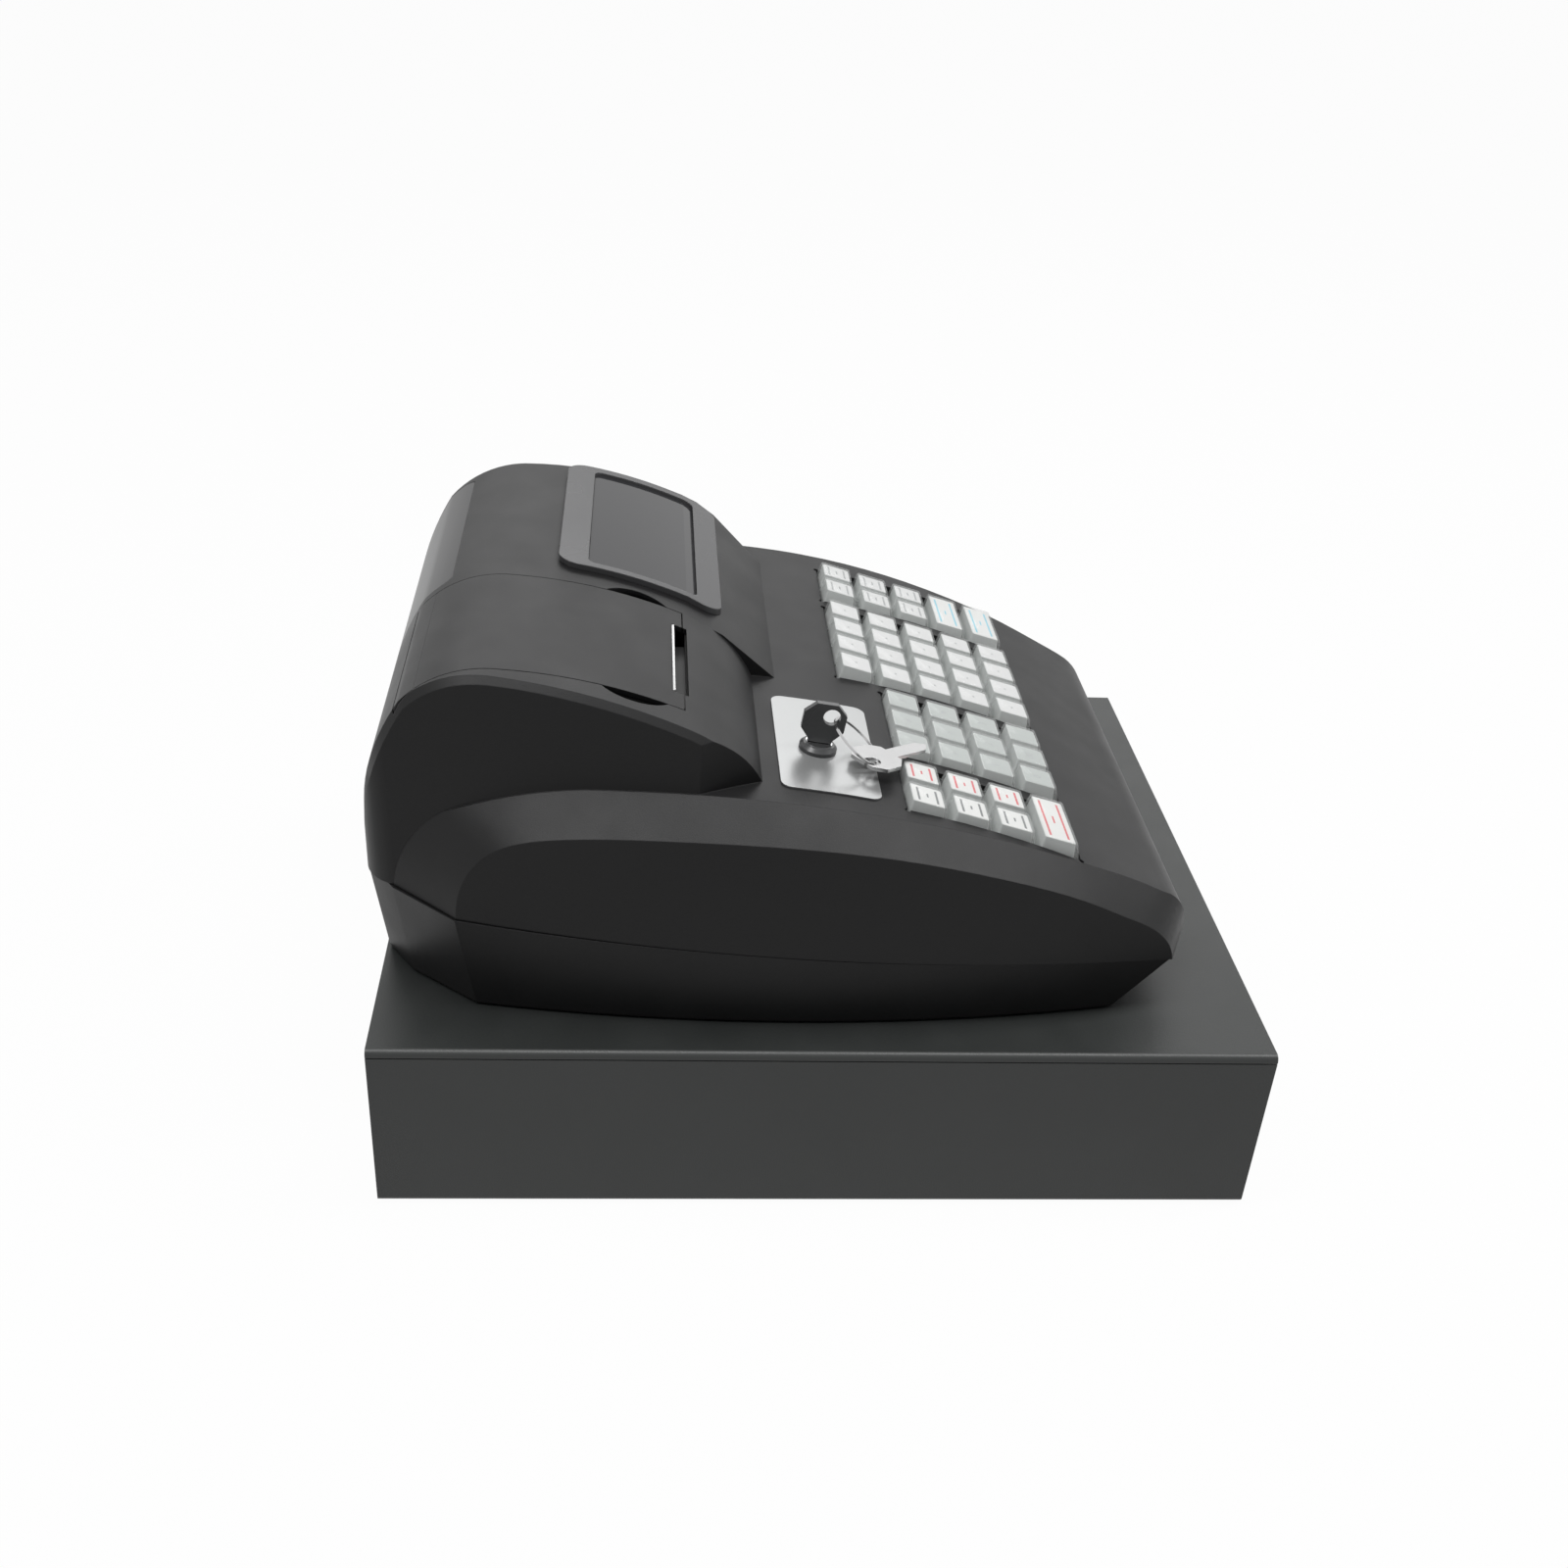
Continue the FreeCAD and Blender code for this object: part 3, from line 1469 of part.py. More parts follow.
def cover_sweep():
    """Space in the tub that the opening cover's hubs and rear lip turn through."""
    hubs = rod(
        hinge_hub_r + slip_gap,
        V(cover_x0 + frame_t, hinge_y, hinge_z),
        V(cover_x1 - frame_t, hinge_y, hinge_z),
    )
    lip = rod(cover_lip_r, V(cover_x0 - over, hinge_y, hinge_z), V(cover_x1 + over, hinge_y, hinge_z))
    arm = [
        (hinge_y, hinge_z + bearing_r),
        (hinge_y - cover_lip_r - over, hinge_z + bearing_r),
        (hinge_y - cover_lip_r - over, hinge_z - cover_lip_r),
        (hinge_y, hinge_z - bearing_r),
    ]
    eye = rod(bearing_r, V(cover_x0 - over, hinge_y, hinge_z), V(cover_x1 + over, hinge_y, hinge_z))
    return hubs.fuse(lip.cut(plate_yz(arm, (cover_x0 - case_w, cover_x1 + case_w)).fuse(eye)))


cover_lip_r = 14.0
bearing_r = 3.8


def finger_notch(x_edge, side):
    """Half-moon recess beside the cover."""
    mid = (notch_y0 + notch_y1) / 2
    half = (notch_y1 - notch_y0) / 2
    radius = (half ** 2 + notch_depth ** 2) / (2 * notch_depth)
    centre_x = x_edge + side * (notch_depth - radius)
    disc = rod(radius, V(centre_x, mid, cover_cut_z), V(centre_x, mid, hump_top_z + over))
    keep_x = sorted((x_edge, x_edge + side * (notch_depth + over)))
    return disc.common(block(keep_x, (notch_y0, notch_y1), (cover_cut_z, hump_top_z + over)))


# Displays
def skin_band(low, high, x, y):
    """A slice of the display half's own curve between two offsets."""
    outer = hump_outline("display", 0).makeOffset2D(high) if high else hump_outline("display", 0)
    inner = hump_outline("display", 0).makeOffset2D(low) if low else hump_outline("display", 0)
    band = outer.extrude(V(x[1] - x[0], 0, 0)).cut(inner.extrude(V(x[1] - x[0], 0, 0)))
    band.translate(V(x[0], 0, 0))
    return band.common(block(x, y, (hump_foot_z, hump_top_z + over)))


def make_displays():
    x = (bezel_x0, bezel_x1)
    y = (bezel_y0, bezel_y1)
    plan = rounded_plan(x, y, (hump_foot_z, hump_top_z + over), bezel_r)
    hole = rounded_plan(
        (window_x0, window_x1),
        (window_y0, window_y1),
        (hump_foot_z, hump_top_z + over),
        window_r,
    )
    bezel = skin_band(0, bezel_t, x, y).common(plan).cut(hole)
    keep("display_bezel", bezel)
    gap = fit_gap / 2
    pane_x = (window_x0 + gap, window_x1 - gap)
    pane_y = (window_y0 + gap, window_y1 - gap)
    pane_plan = rounded_plan(pane_x, pane_y, (hump_foot_z, hump_top_z + over), window_r - gap)
    keep("display_window", skin_band(0, window_t, pane_x, pane_y).common(pane_plan))


def rear_window_region(gap):
    """Block behind the hump that the customer's window fills."""
    x = (rear_window_x0 - gap, rear_window_x1 + gap)
    z = (rear_window_z0 - gap, rear_window_z1 + gap)
    region = block(x, (hump_shoulder_y, rear_y + over), z)
    corners = [e for e in region.Edges if abs(e.tangentAt(e.FirstParameter).y) > 1 - parallel_share]
    return region.makeFillet(window_r, corners)


# Upper shell: the outer form less the inner form and every opening
def make_upper():
    outer = body_block(0, seam_gap / 2)
    inner = body_block(wall, -over)
    shell = outer.cut(inner)
    skin = crowned_hump().cut(hump_solid(wall))
    make_cover(skin)
    cuts = [cover_plan(cover_gap), slot_box(), keyboard_cutout()]
    cuts.append(finger_notch(cover_x0 - cover_gap, -1))
    cuts.append(finger_notch(cover_x1 + cover_gap, 1))
    ledge = window_ledge
    cuts.append(rounded_plan(
        (window_x0 + ledge, window_x1 - ledge),
        (window_y0 + ledge, window_y1 - ledge),
        (hump_floor_z, hump_top_z + over),
        window_r,
    ))
    rear_pane = rear_window_region(0)
    pane = hump_solid(0).cut(hump_solid(rear_window_t)).common(rear_pane)
    keep("customer_window", max(pane.Solids, key=lambda s: s.Volume))
    recess = hump_solid(-fit_gap).cut(hump_solid(rear_window_t + fit_gap / 2))
    recess = recess.common(rear_window_region(fit_gap / 2))
    cuts.append(recess)
    opening = rear_window_region(-ledge)
    cuts.append(opening.cut(block(
        (-case_w, case_w),
        (0, hump_shoulder_y + ledge),
        (0, hump_top_z + over),
    )))
    shell = shell.cut(cuts)
    return shell


def lower_block(inset):
    """The tapered base under the seam plane: bowed sides between cut corners."""
    low_z = base_z + (wall if inset else 0)
    high_z = parting_rear_z + over
    seam_z = parting_z(bow_y)
    slope = base_tuck / (seam_z - base_z)
    rows = []
    for z in (low_z, high_z):
        tuck = slope * (seam_z - z)
        front = nose_y + inset + nose_lean * (parting_front_z - z) / (parting_front_z - base_z)
        rear = rear_y - inset - rear_lean * (parting_rear_z - z) / (parting_rear_z - base_z)
        corner = crease_half - bow_drop(nose_y) - tuck - inset / 2
        back = rear_corner_x - tuck - inset / 2
        knee_x, knee_y = back + rear_corner_run, rear - rear_corner_rise
        half = [
            (corner, front),
            (corner + corner_run, front + corner_rise),
            (knee_x + 2 * rear_chamfer_run, knee_y - 2 * rear_chamfer_rise),
            (knee_x, knee_y),
            (back, rear),
        ]
        ring_points = [V(x, y, z) for x, y in half] + [V(-x, y, z) for x, y in reversed(half)]
        rows.append(Part.makePolygon(ring_points + ring_points[:1]))
    core = Part.makeLoft(rows, True, True)
    for side in (-1, 1):
        centre = V(side * (side_half - bow_r), bow_y, low_z)
        radius = bow_r - inset
        cone = Part.makeCone(
            radius - slope * (seam_z - low_z),
            radius - slope * (seam_z - high_z),
            high_z - low_z,
            centre,
        )
        core = core.common(cone)
    return core


nose_lean = 22.0
rear_lean = 6.0
corner_run = 45.0
corner_rise = 20.0
rear_corner_rise = 13.5
rear_corner_run = 20.0
rear_chamfer_rise = 29.5
rear_chamfer_run = 23.5


def make_lower():
    far = rear_y + over
    outline = [
        (-over, parting_z(-over)),
        (far, parting_z(far)),
        (far, base_z - over),
        (-over, base_z - over),
    ]
    under = plate_yz([(y, z - seam_gap / 2) for y, z in outline], (-case_w / 2, case_w / 2))
    return lower_block(0).cut(lower_block(wall)).common(under)


base_foot_x = 118.0
base_foot_front_y = 82.0
base_foot_rear_y = 360.0
post_places = ((-118.0, 82.0), (-125.0, 335.0), (118.0, 82.0), (125.0, 335.0))


# Posts that join the shells, the screws in them, and the boards and power unit
def make_inside(upper, lower, key_board):
    low_posts = []
    high_posts = []
    screws = []
    inner = body_block(wall / 2, 0)
    for x, y in post_places:
        seam = parting_z(y)
        low_posts.append(rod(post_r, V(x, y, base_z + wall / 2), V(x, y, seam - seam_gap)))
        high = rod(post_r, V(x, y, seam + fit_gap), V(x, y, hump_top_z))
        high_posts.append(high.common(inner if y > hump_brow_y else deck_cylinder(-wall / 2)))
        head = rod(
            screw_head_r,
            V(x, y, base_z + screw_sink),
            V(x, y, base_z + screw_sink + screw_head_h),
        )
        shank = rod(screw_r, V(x, y, base_z + screw_sink), V(x, y, seam + screw_bite))
        screws.append(head.fuse(shank))
    lower = join([lower] + low_posts)
    upper = join([upper] + high_posts)
    clear = []
    threads = []
    for x, y in post_places:
        clear.append(rod(screw_r + running_gap, V(x, y, base_z - over), V(x, y, parting_z(y) + over)))
        clear.append(rod(
            screw_head_r + fit_gap,
            V(x, y, base_z - over),
            V(x, y, base_z + screw_sink + screw_head_h + running_gap),
        ))
        threads.append(rod(
            screw_r + running_gap,
            V(x, y, parting_z(y) - over),
            V(x, y, parting_z(y) + screw_bite + running_gap),
        ))
    lower = lower.cut(clear)
    upper = upper.cut(threads)
    keep("shell_screws", *screws)
    make_power(lower, upper, key_board)


screw_sink = 0.6
screw_bite = 8.0
main_x = (-20.0, 118.0)
main_y = (110.0, 250.0)
power_x = -60.0
power_y = 330.0


def make_power(lower, upper, key_board):
    floor = base_z + wall
    pcb_z = floor + pcb_gap
    posts = []
    for x in main_x:
        for y in main_y:
            inward_x = post_r * (1 if x < sum(main_x) / 2 else -1)
            inward_y = post_r * (1 if y < sum(main_y) / 2 else -1)
            posts.append(rod(
                post_r,
                V(x + inward_x, y + inward_y, floor - wall / 2),
                V(x + inward_x, y + inward_y, pcb_z),
            ))
    main = block(main_x, main_y, (pcb_z, pcb_z + pcb_t))
    front = hump_solid(wall + fit_gap).cut(hump_solid(wall + fit_gap + pcb_t))
    front = front.common(block(
        (window_x0, window_x1),
        (window_y0, window_y1),
        (hump_foot_z, hump_top_z),
    ))
    front = max(front.Solids, key=lambda s: s.Volume)
    keep("circuit_boards", main, key_board, front)
    unit = rounded_plan(
        (power_x - power_w / 2, power_x + power_w / 2),
        (power_y - power_d / 2, power_y + power_d / 2),
        (floor, floor + power_h),
        wall,
    )
    keep("power_unit", unit)
    face_y = rear_y - rear_lean * (parting_rear_z - jack_z) / (parting_rear_z - base_z)
    jack_y = (face_y - jack_len, face_y)
    jack = block(
        (jack_x - jack_w / 2, jack_x + jack_w / 2),
        jack_y,
        (jack_z - jack_h / 2, jack_z + jack_h / 2),
    )
    half = jack_w / 2 + running_gap
    seat_z = (jack_z - jack_h / 2 - running_gap, jack_z + jack_h / 2 + running_gap)
    seat = block((jack_x - half, jack_x + half), (jack_y[0] - over, rear_y + over), seat_z)
    shelf = block(
        (jack_x - half, jack_x + half),
        (jack_y[0], jack_y[1] - wall / 2),
        (base_z + wall / 2, seat_z[0]),
    )
    lower = join([lower.cut(seat), shelf] + posts)
    bore = rod(
        jack_bore_r,
        V(jack_x, jack_y[1] - jack_bore_len, jack_z),
        V(jack_x, jack_y[1] + over, jack_z),
    )
    keep("power_jack", jack.cut(bore))
    keep("lower_shell", lower)
    keep("upper_shell", upper)


os.makedirs("parts", exist_ok=True)
make_case()
make_feet()
make_slides()
make_tray()
make_front()
bays, clip_pin, insert_z = make_insert()
make_latch()
keyboard_pcb = make_keyboard()
upper_shell = make_upper()
lock_seat, lock_up, lock_along = make_mode_lock()
ring_hole = make_ring(lock_seat, lock_up, lock_along)
lock_hole = rod(barrel_r + running_gap, lock_seat - lock_up * over, lock_seat + lock_up * over)
upper_shell = upper_shell.cut(lock_hole)
make_printer()
make_displays()
make_inside(upper_shell, make_lower(), keyboard_pcb)

middle = V(0, -part_mid_y, 0)
triangles = 0
for name, solids in nodes.items():
    shape = Part.makeCompound(solids) if len(solids) > 1 else solids[0]
    shape = shape.copy()
    shape.translate(middle)
    shape.exportStep("parts/%s.step" % name)
    mesh = shape.tessellate(count_step)
    triangles += len(mesh[1])
    if not shape.isValid():
        print("not valid:", name)
print("nodes", len(nodes), "triangles", triangles)
places = {
    "tilt": math.degrees(board_tilt),
    "front_roller": (0, front_roller_y, roller_z),
    "rear_roller": (0, rear_roller_y, roller_z),
    "roller_r": roller_r,
    "hook": (0, hook_pin_y, hook_pin_z),
    "clip": (0, clip_pin[0], clip_pin[1]),
    "lock": (lock_x, 0, lock_z),
    "cover": ((cover_x0 + cover_x1) / 2, hinge_y, hinge_z),
    "platen": (platen_mid, platen_y, platen_z),
    "roll": (platen_mid, roll_y, roll_z),
    "seat": tuple(lock_seat),
    "up": tuple(lock_up),
    "ring": tuple(ring_hole),
    "bays": bays,
    "bay_floor": insert_z + insert_wall,
    "bay_top": insert_z + insert_h,
    "cups": cups,
    "jack": (
        jack_x,
        rear_y - rear_lean * (parting_rear_z - jack_z) / (parting_rear_z - base_z),
        jack_z,
    ),
    "middle": part_mid_y,
}
print(json.dumps(places))
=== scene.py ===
import math

import bmesh
import bpy
from mathutils import Matrix, Vector


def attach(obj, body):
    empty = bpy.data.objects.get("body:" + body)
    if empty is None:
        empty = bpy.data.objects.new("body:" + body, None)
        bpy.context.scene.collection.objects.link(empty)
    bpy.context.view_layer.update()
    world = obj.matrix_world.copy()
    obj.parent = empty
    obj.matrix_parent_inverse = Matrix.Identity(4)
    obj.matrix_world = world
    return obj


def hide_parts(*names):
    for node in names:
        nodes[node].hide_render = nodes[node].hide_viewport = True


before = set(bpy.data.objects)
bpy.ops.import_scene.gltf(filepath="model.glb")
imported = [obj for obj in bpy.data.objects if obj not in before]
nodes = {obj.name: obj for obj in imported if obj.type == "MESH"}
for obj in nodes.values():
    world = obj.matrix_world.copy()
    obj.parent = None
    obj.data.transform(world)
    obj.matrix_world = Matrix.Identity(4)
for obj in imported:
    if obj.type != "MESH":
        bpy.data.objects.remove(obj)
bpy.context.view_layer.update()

# The camera stands at the till's left side and looks down on the lock and the keyboard.
# Its lens and place were worked out from the corners of the steel drawer.
camera_place = (-0.76984, 0.08420, 0.57457)
camera_right = (-0.0448974, -0.9979846, 0.0448430)
camera_up = (0.5361674, 0.0138027, 0.8439988)
camera_back = (-0.8429168, 0.0619367, 0.5344671)
lens = bpy.data.cameras.new("till_camera")
lens.sensor_width = 36.0
lens.lens = 39.93
lens.shift_x = 0.025
lens.shift_y = 0.040625
lens.clip_start = 0.01
camera = bpy.data.objects.new("till_camera", lens)
camera.matrix_world = Matrix([
    [camera_right[i], camera_up[i], camera_back[i], camera_place[i]] for i in range(3)
] + [[0, 0, 0, 1]])
bpy.context.scene.collection.objects.link(camera)
bpy.context.scene.camera = camera

# Rubber feet: two sets of four, moulded in soft black rubber. One set is pressed into the
# drawer's floor, the other holds the register off the drawer's lid.
rubber_black = (0.018, 0.018, 0.019)
rubber_grain = 0.0012
grains_per_cloud = 45
grain_octaves = 3
gloss_drift = 0.07
least_roughness = 0.02
lighter_share = 3
edge_rays = 4


def finish(name, colour, roughness, grain, depth, mottle=0.08, metallic=0.0, gloss=0.5, eased=0.0):
    """A material with a fine surface grain and slow changes of tone, in object coordinates.

    The grain's size, its depth and the radius of the eased edges are in metres.
    """
    material = bpy.data.materials.new(name)
    material.use_nodes = True
    tree = material.node_tree
    shader = tree.nodes["Principled BSDF"]
    shader.inputs["Metallic"].default_value = metallic
    shader.inputs["Specular IOR Level"].default_value = gloss
    place = tree.nodes.new("ShaderNodeTexCoord").outputs["Object"]
    fine = tree.nodes.new("ShaderNodeTexNoise")
    fine.name = "grain"
    fine.inputs["Scale"].default_value = 1 / grain
    fine.inputs["Detail"].default_value = grain_octaves
    broad = tree.nodes.new("ShaderNodeTexNoise")
    broad.name = "clouds"
    broad.inputs["Scale"].default_value = 1 / (grain * grains_per_cloud)
    tree.links.new(place, fine.inputs["Vector"])
    tree.links.new(place, broad.inputs["Vector"])
    both = tree.nodes.new("ShaderNodeMath")
    both.operation = "MULTIPLY"
    tree.links.new(fine.outputs["Fac"], both.inputs[0])
    tree.links.new(broad.outputs["Fac"], both.inputs[1])
    tone = tree.nodes.new("ShaderNodeMix")
    tone.name = "tone"
    tone.data_type = "RGBA"
    tone.inputs["A"].default_value = (*[c * (1 - mottle) for c in colour], 1)
    tone.inputs["B"].default_value = (*[c * (1 + lighter_share * mottle) for c in colour], 1)
    tree.links.new(both.outputs[0], tone.inputs["Factor"])
    tree.links.new(tone.outputs["Result"], shader.inputs["Base Color"])
    dullness = tree.nodes.new("ShaderNodeMapRange")
    dullness.name = "dullness"
    dullness.inputs["To Min"].default_value = max(roughness - gloss_drift, least_roughness)
    dullness.inputs["To Max"].default_value = roughness + gloss_drift
    tree.links.new(broad.outputs["Fac"], dullness.inputs["Value"])
    tree.links.new(dullness.outputs["Result"], shader.inputs["Roughness"])
    bump = tree.nodes.new("ShaderNodeBump")
    bump.inputs["Distance"].default_value = depth
    tree.links.new(fine.outputs["Fac"], bump.inputs["Height"])
    if eased:
        edge = tree.nodes.new("ShaderNodeBevel")
        edge.samples = edge_rays
        edge.inputs["Radius"].default_value = eased
        tree.links.new(edge.outputs["Normal"], bump.inputs["Normal"])
    tree.links.new(bump.outputs["Normal"], shader.inputs["Normal"])
    return material


def give(name, material):
    """A carried-over piece gets its material in every slot."""
    data = nodes[name].data
    if not data.materials:
        data.materials.append(material)
    for i in range(len(data.materials)):
        data.materials[i] = material


rubber = finish("foot_rubber", rubber_black, 0.75, rubber_grain, 0.00006)
give("rubber_feet", rubber)

# The drawer's case: a pan and a lid pressed from 1.2 mm steel sheet and bent round the edges,
# sprayed dark grey with a fine texture. The lid sits on the pan with a thin seam.
enamel_grey = (0.0140, 0.0158, 0.0152)
enamel_grain = 0.0007
edge_round = 0.0003
weld_reach = 2e-6
flat_within = 0.03
sheet_crease = 28.0
turned_crease = 35.0
eased_over = 32
level_share = 0.02
no_fold = 90.0


def worked_copy(name, crease=sheet_crease, rounding=0.0, fold=no_fold):
    """The named piece's own shape as one closed mesh, smooth over its curves, edges eased.

    A fold is a gentler crease, between a face that is level from side to side and one that
    leans sideways. Both are angles in degrees, as is the limit under which faces count as flat.
    """
    mesh = bpy.data.meshes.new(name + "_made")
    work = bmesh.new()
    work.from_mesh(nodes[name].data)
    bmesh.ops.remove_doubles(work, verts=work.verts, dist=weld_reach)
    bmesh.ops.dissolve_limit(
        work, angle_limit=math.radians(flat_within), verts=work.verts, edges=work.edges
    )
    for face in work.faces:
        face.smooth = True
        face.material_index = 0
    for edge in work.edges:
        bend = math.degrees(edge.calc_face_angle(0.0))
        leans = sorted(abs(face.normal.x) for face in edge.link_faces)
        folded = bend > fold and leans[0] < level_share < leans[-1]
        edge.smooth = bend < crease and not folded
    work.to_mesh(mesh)
    work.free()
    piece = bpy.data.objects.new(name + "_made", mesh)
    bpy.context.scene.collection.objects.link(piece)
    if rounding:
        ease = piece.modifiers.new("eased_edges", "BEVEL")
        ease.width = rounding
        ease.segments = 2
        ease.limit_method = "ANGLE"
        ease.angle_limit = math.radians(eased_over)
        ease.harden_normals = True
    even = piece.modifiers.new("even_shading", "WEIGHTED_NORMAL")
    even.keep_sharp = True
    return piece


def dress(name, body, material, crease=sheet_crease, rounding=0.0, fold=no_fold):
    """The worked copy in its material, standing for the piece and riding where it rides."""
    piece = worked_copy(name, crease, rounding, fold)
    piece.data.materials.append(material)
    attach(piece, body)
    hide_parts(name)
    return piece


enamel = finish("drawer_enamel", enamel_grey, 0.45, enamel_grain, 0.00005, 0.05, gloss=0.5)
dress("case_pan", "register", enamel, rounding=edge_round)
dress("case_lid", "register", enamel, rounding=edge_round)

# Slides: a rolled steel channel screwed to each inner side of the case, bright zinc, with a
# nylon roller at its front. The tray's own rollers run in the channels behind.
zinc_grey = (0.46, 0.47, 0.48)
nylon_white = (0.52, 0.52, 0.50)
zinc = finish("zinc_plate", zinc_grey, 0.38, 0.0025, 0.00002, 0.06, 1.0)
nylon = finish("roller_nylon", nylon_white, 0.45, 0.0015, 0.00002, 0.03)
dress("case_rails", "register", zinc)
dress("front_rollers", "front_rollers", nylon, turned_crease)
dress("rear_rollers", "rear_rollers", nylon, turned_crease)

# The sliding tray: a folded steel box with a flange on each side that rolls on the slides.
# Its front panel is a separate sheet in the case's enamel, with the lock through it.
chrome_grey = (0.62, 0.62, 0.63)
fine_round = 0.0002
dress("drawer_tray", "drawer", zinc)
dress("drawer_front", "drawer", enamel, rounding=edge_round)
chrome = finish("polished_plate", chrome_grey, 0.16, 0.003, 0.00001, 0.03, 1.0)
dress("drawer_lock", "drawer_lock", chrome, turned_crease, fine_round)

# The cash insert: one black plastic moulding with four bays for notes behind and a well in
# front for the loose coin cups. A sprung plastic clip holds each stack of notes down.
tray_black = (0.014, 0.014, 0.015)
note_bays = 4
tray_plastic = finish("insert_plastic", tray_black, 0.55, 0.0009, 0.00004)
dress("cash_insert", "drawer", tray_plastic)
dress("coin_cups", "drawer", tray_plastic)
for number in range(note_bays):
    clip = "bill_clip_%d" % (number + 1)
    dress(clip, clip, tray_plastic, turned_crease)

# The latch: a zinc bracket screwed inside the case's rear wall, with a solenoid that turns a
# hook behind the striker on the tray. Both are out of sight with the drawer shut.
dress("latch_unit", "register", zinc, turned_crease)
dress("latch_hook", "latch_hook", zinc, turned_crease)

# The register's shells: black moulded plastic with a fine spark texture, the upper one
# screwed to the lower from below. The hump over the printer and displays is part of it.
shell_black = (0.008, 0.008, 0.0083)
shell_grain = 0.00055
shell_round = 0.0006
shell_crease = 21.0
deck_fold = 9.0
moulded = finish(
    "moulded_shell", shell_black, 0.43, shell_grain, 0.00005, 0.10, gloss=0.20, eased=shell_round
)
dress("lower_shell", "register", moulded)
dress("upper_shell", "register", moulded, shell_crease, fold=deck_fold)
give("shell_screws", zinc)

# Inside the shells: the power unit in a black can, and the main, key and display boards in
# green laminate, which stand on posts.
board_green = (0.012, 0.075, 0.030)
laminate = finish("board_laminate", board_green, 0.35, 0.004, 0.00003, 0.15)
give("circuit_boards", laminate)
give("power_unit", tray_plastic)
give("power_jack", tray_plastic)

# The keyboard's frame: a black plastic mat and bearers under the deck, holding the stems.
give("key_frame", tray_plastic)

# The keys: a clear cap over a paper slip on a grey-white stem, all pushed down by the finger.
# The slips carry plain bars and figures. The widest keys span two places of the keyboard.
board_place = (-0.004, -0.06346, 0.18057)
board_lean = 16.2152
corner_steps = 3
key_crease = 40
cap_alpha = 0.22
key_sizes = {
    "Rim Width": 0.0196, "Rim Depth": 0.0200, "Rim Low": -0.0072, "Rim High": -0.0042,
    "Top High": 0.0037, "Top Back": 0.0014, "Side Taper": 0.0030, "Front Taper": 0.0034,
    "Top Ease": 0.0006, "Top Dish": 0.00018, "Corner": 0.0011, "Cap Wall": 0.0009,
    "Stem": 0.0080, "Stem Low": -0.0157, "Slip Edge": 0.0008, "Slip Thickness": 0.0001,
    "Ink": 0.00002, "Bar Length": 0.0, "Bar Width": 0.0011, "Bar Apart": 0.0088,
    "Mark Length": 0.0, "Mark Width": 0.0009, "Figure": "", "Figure Size": 0.0056,
}
cap_clear = (0.70, 0.72, 0.71)
stem_grey = (0.50, 0.52, 0.51)
slip_white = (0.66, 0.66, 0.65)
slip_pale = (0.60, 0.60, 0.60)
slip_grey = (0.38, 0.405, 0.393)
ink_grey = (0.085, 0.09, 0.095)
ink_faint = (0.30, 0.31, 0.31)
ink_red = (0.55, 0.045, 0.060)
ink_blue = (0.20, 0.50, 0.62)


def add(tree, kind, wires=None, **settings):
    """One node with its settings, each input given a wire or a value."""
    made = tree.nodes.new(kind)
    for name, value in settings.items():
        setattr(made, name, value)
    for place, value in (wires or {}).items():
        if isinstance(value, bpy.types.NodeSocket):
            tree.links.new(value, made.inputs[place])
        else:
            made.inputs[place].default_value = value
    return made.outputs


def new_tree(name, sizes):
    """A node tree whose inputs are the named sizes, materials and texts."""
    tree = bpy.data.node_groups.new(name, "GeometryNodeTree")
    tree.interface.new_socket("Geometry", in_out="INPUT", socket_type="NodeSocketGeometry")
    tree.interface.new_socket("Geometry", in_out="OUTPUT", socket_type="NodeSocketGeometry")
    for label, value in sizes.items():
        kind = "NodeSocketFloat"
        if isinstance(value, bpy.types.Material):
            kind = "NodeSocketMaterial"
        elif isinstance(value, str):
            kind = "NodeSocketString"
        elif isinstance(value, int):
            kind = "NodeSocketInt"
        elif isinstance(value, tuple):
            kind = "NodeSocketVector"
        tree.interface.new_socket(label, in_out="INPUT", socket_type=kind)
    return tree, tree.nodes.new("NodeGroupInput").outputs


def grow(name, points, tree, sizes):
    """The plain mesh that a tree makes on the given points, as a finished object."""
    mesh = bpy.data.meshes.new(name)
    mesh.from_pydata(points, [], [])
    seed = bpy.data.objects.new(name, mesh)
    bpy.context.scene.collection.objects.link(seed)
    maker = seed.modifiers.new("maker", "NODES")
    maker.node_group = tree
    for item in tree.interface.items_tree:
        if item.in_out == "INPUT" and item.name in sizes:
            maker[item.identifier] = sizes[item.name]
    bpy.context.view_layer.update()
    made = bpy.data.meshes.new_from_object(seed.evaluated_get(bpy.context.evaluated_depsgraph_get()))
    seed.modifiers.remove(maker)
    seed.data = made
    return seed


def vector(tree, x, y, z=0.0):
    return add(tree, "ShaderNodeCombineXYZ", {0: x, 1: y, 2: z})[0]


def sum_of(tree, a, b, how="ADD"):
    return add(tree, "ShaderNodeMath", {0: a, 1: b}, operation=how)[0]


